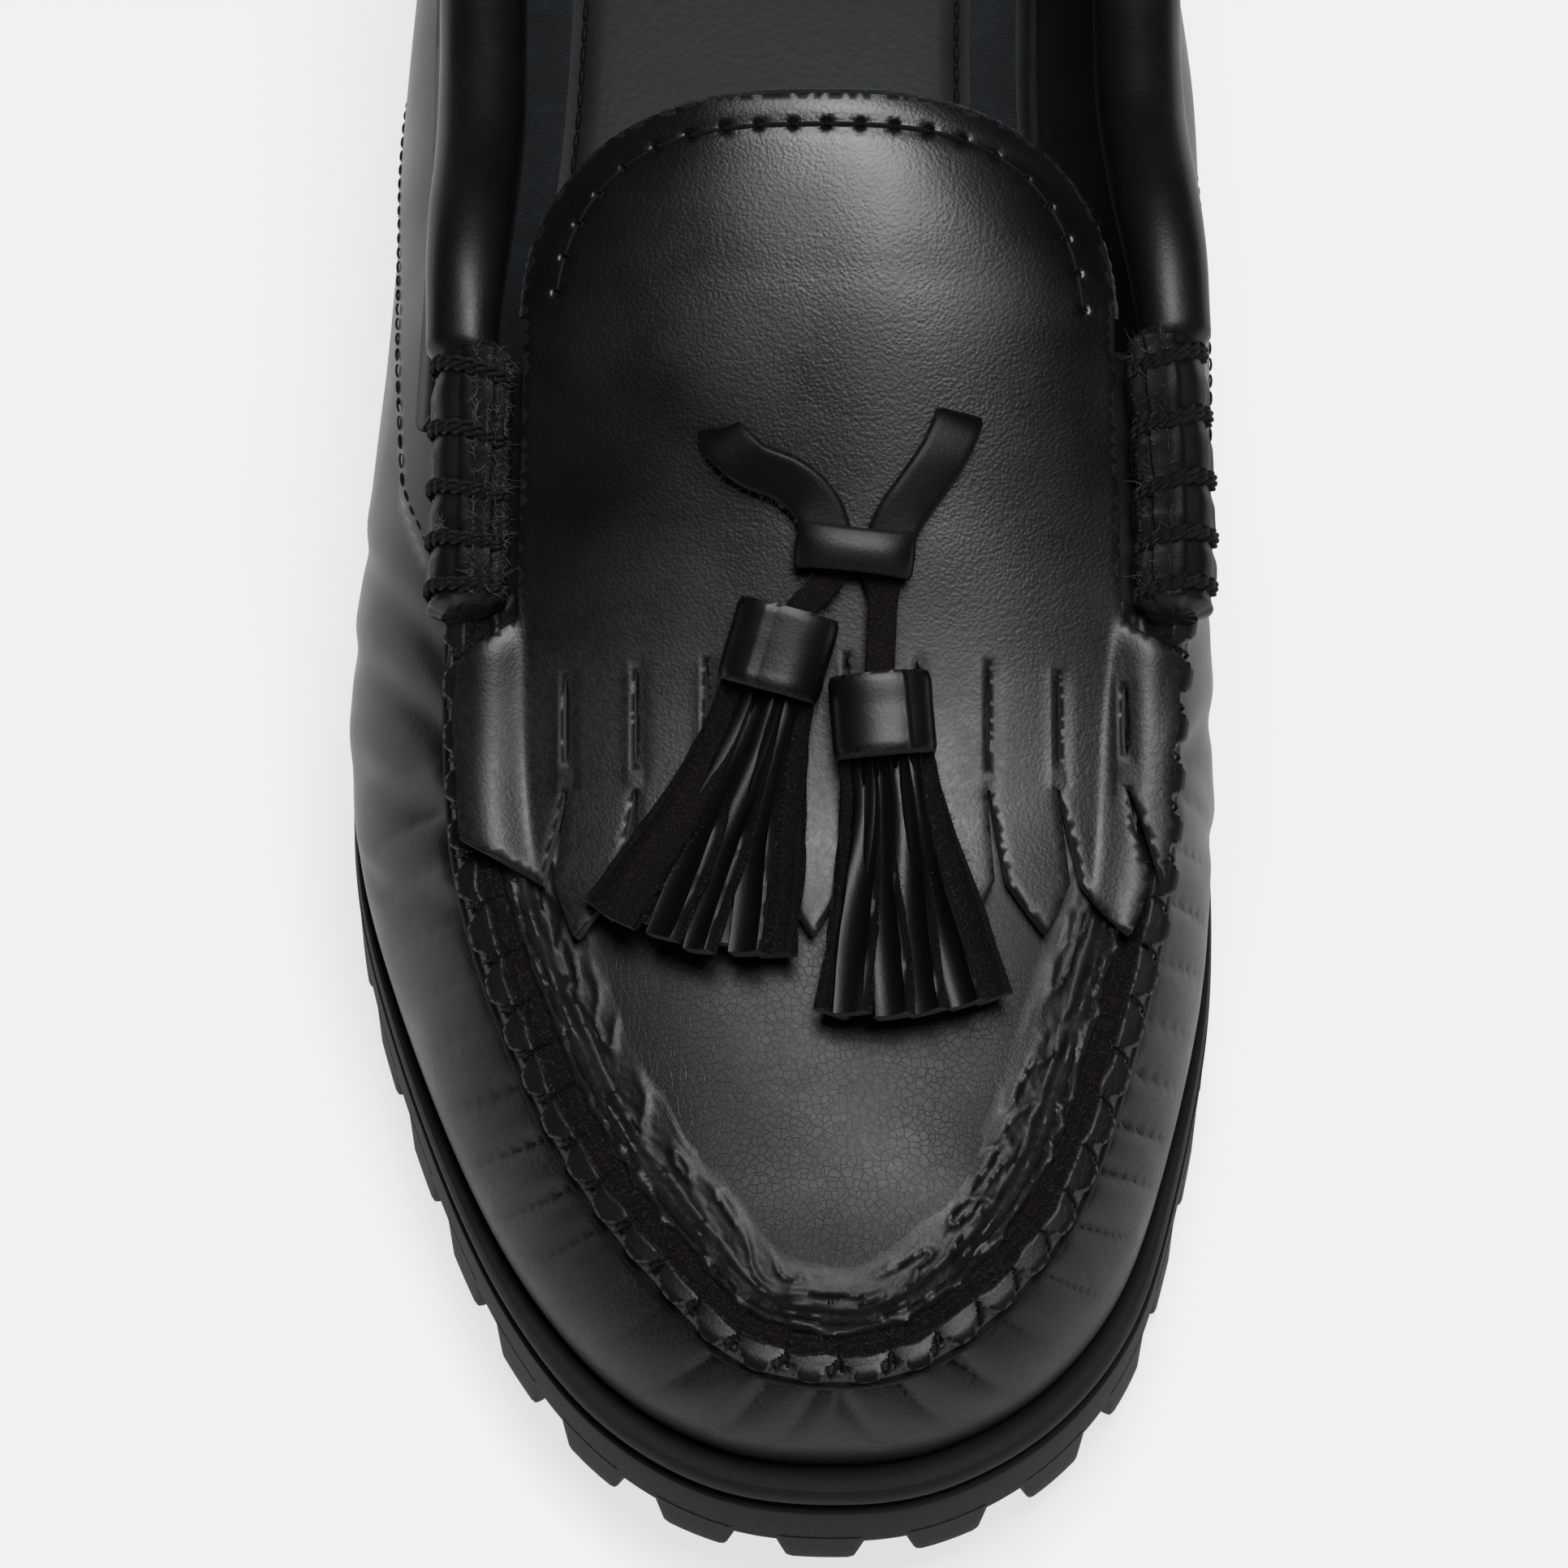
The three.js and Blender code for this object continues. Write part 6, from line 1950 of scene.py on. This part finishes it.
@dataclass
class Studio:
    """The camera of the photograph, its pale floor and its soft lights."""

    target: tuple[float, float, float] = (0.0, -0.067, 0.05)
    distance: float = 1.0
    elevation: float = 60.0
    lens: float = 190.06
    floor_colour: int = 0xF0F0F0
    floor_glow: float = 0.84
    paper_colour: int = 0x8A8A8A
    room_colour: int = 0x2C2C2E
    floor_half: float = 6.0

    def build(self) -> None:
        """Places the camera, the floor and the lights."""
        angle = radians(self.elevation)
        camera = bpy.data.cameras.new("camera")
        camera.lens, camera.sensor_width = self.lens, 36.0
        eye = put("camera", camera)
        eye.location = (self.target[0], self.target[1] - self.distance * cos(angle),
                        self.target[2] + self.distance * sin(angle))
        eye.rotation_euler = (pi / 2 - angle, 0, 0)
        bpy.context.scene.camera = eye
        bpy.context.scene.view_settings.view_transform = "Standard"
        self.floor()
        self.sky()
        self.softbox("overhead", (0.15, -0.11, 0.98), 1.1, 0.40, 4.0)
        self.softbox("behind", (0.02, 0.13, 0.98), 1.1, 0.42, 3.8)

    def floor(self) -> None:
        """A wide pale sheet that glows a little, as paper does under a bright lamp."""
        mesh = bpy.data.meshes.new("floor")
        size = self.floor_half
        corners = [(-size, -size, 0), (size, -size, 0), (size, size, 0), (-size, size, 0)]
        mesh.from_pydata(corners, [], [(0, 1, 2, 3)])
        material = bpy.data.materials.new("matt_backdrop_paper")
        material.use_nodes = True
        shader = material.node_tree.nodes["Principled BSDF"]
        shader.inputs["Base Color"].default_value = to_linear(self.paper_colour)
        shader.inputs["Roughness"].default_value = 0.95
        shader.inputs["Specular IOR Level"].default_value = 0.1
        shader.inputs["Emission Color"].default_value = to_linear(self.floor_colour)
        shader.inputs["Emission Strength"].default_value = self.floor_glow
        mesh.materials.append(material)
        put("floor", mesh)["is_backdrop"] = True

    def sky(self) -> None:
        """A dark room, so that only the floor and the soft light show in the leather."""
        world = bpy.data.worlds.new("studio")
        world.use_nodes = True
        tree = world.node_tree
        tree.nodes.clear()
        light = add_node(tree, "Background", {"Color": to_linear(self.room_colour), "Strength": 1.0})
        add_node(tree, "OutputWorld", {"Surface": light})
        bpy.context.scene.world = world

    def softbox(self, name: str, direction: tuple[float, float, float], distance: float, size: float,
                watts: float) -> None:
        """A square soft light that faces the shoe.

        Args:
            name: Its name.
            direction: Where it stands, seen from the target.
            distance: How far off.
            size: Its side.
            watts: Its power.
        """
        lamp = bpy.data.lights.new(name, "AREA")
        lamp.shape, lamp.size, lamp.energy = "SQUARE", size, watts
        made = put(name, lamp)
        way = Vector(direction).normalized()
        made.location = Vector(self.target) + way * distance
        made.rotation_euler = way.to_track_quat("Z", "Y").to_euler()


def corners(box: Sequence[Vector]) -> list[list[float]]:
    """A box's two corners as plain lists."""
    return [[float(v) for v in corner] for corner in box]


def main() -> None:
    """Builds the scene: camera first, then the shoe from the tassel down to the sole."""
    logging.basicConfig(level=logging.INFO, format="%(message)s")
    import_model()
    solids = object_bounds()
    Studio().build()
    last = Last()
    kiltie = Kiltie(last)
    Tassel(last, kiltie).build()
    kiltie.build()
    Upper(last).build()
    ApronSeam(last).build()
    Collar(last).build()
    for side in Side:
        Beefroll(last, side).build()
    Insole(last).build()
    Sole(last).build()
    sizes = {"solids": corners(solids), "visual": corners(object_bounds())}


if __name__ == "__main__":
    main()
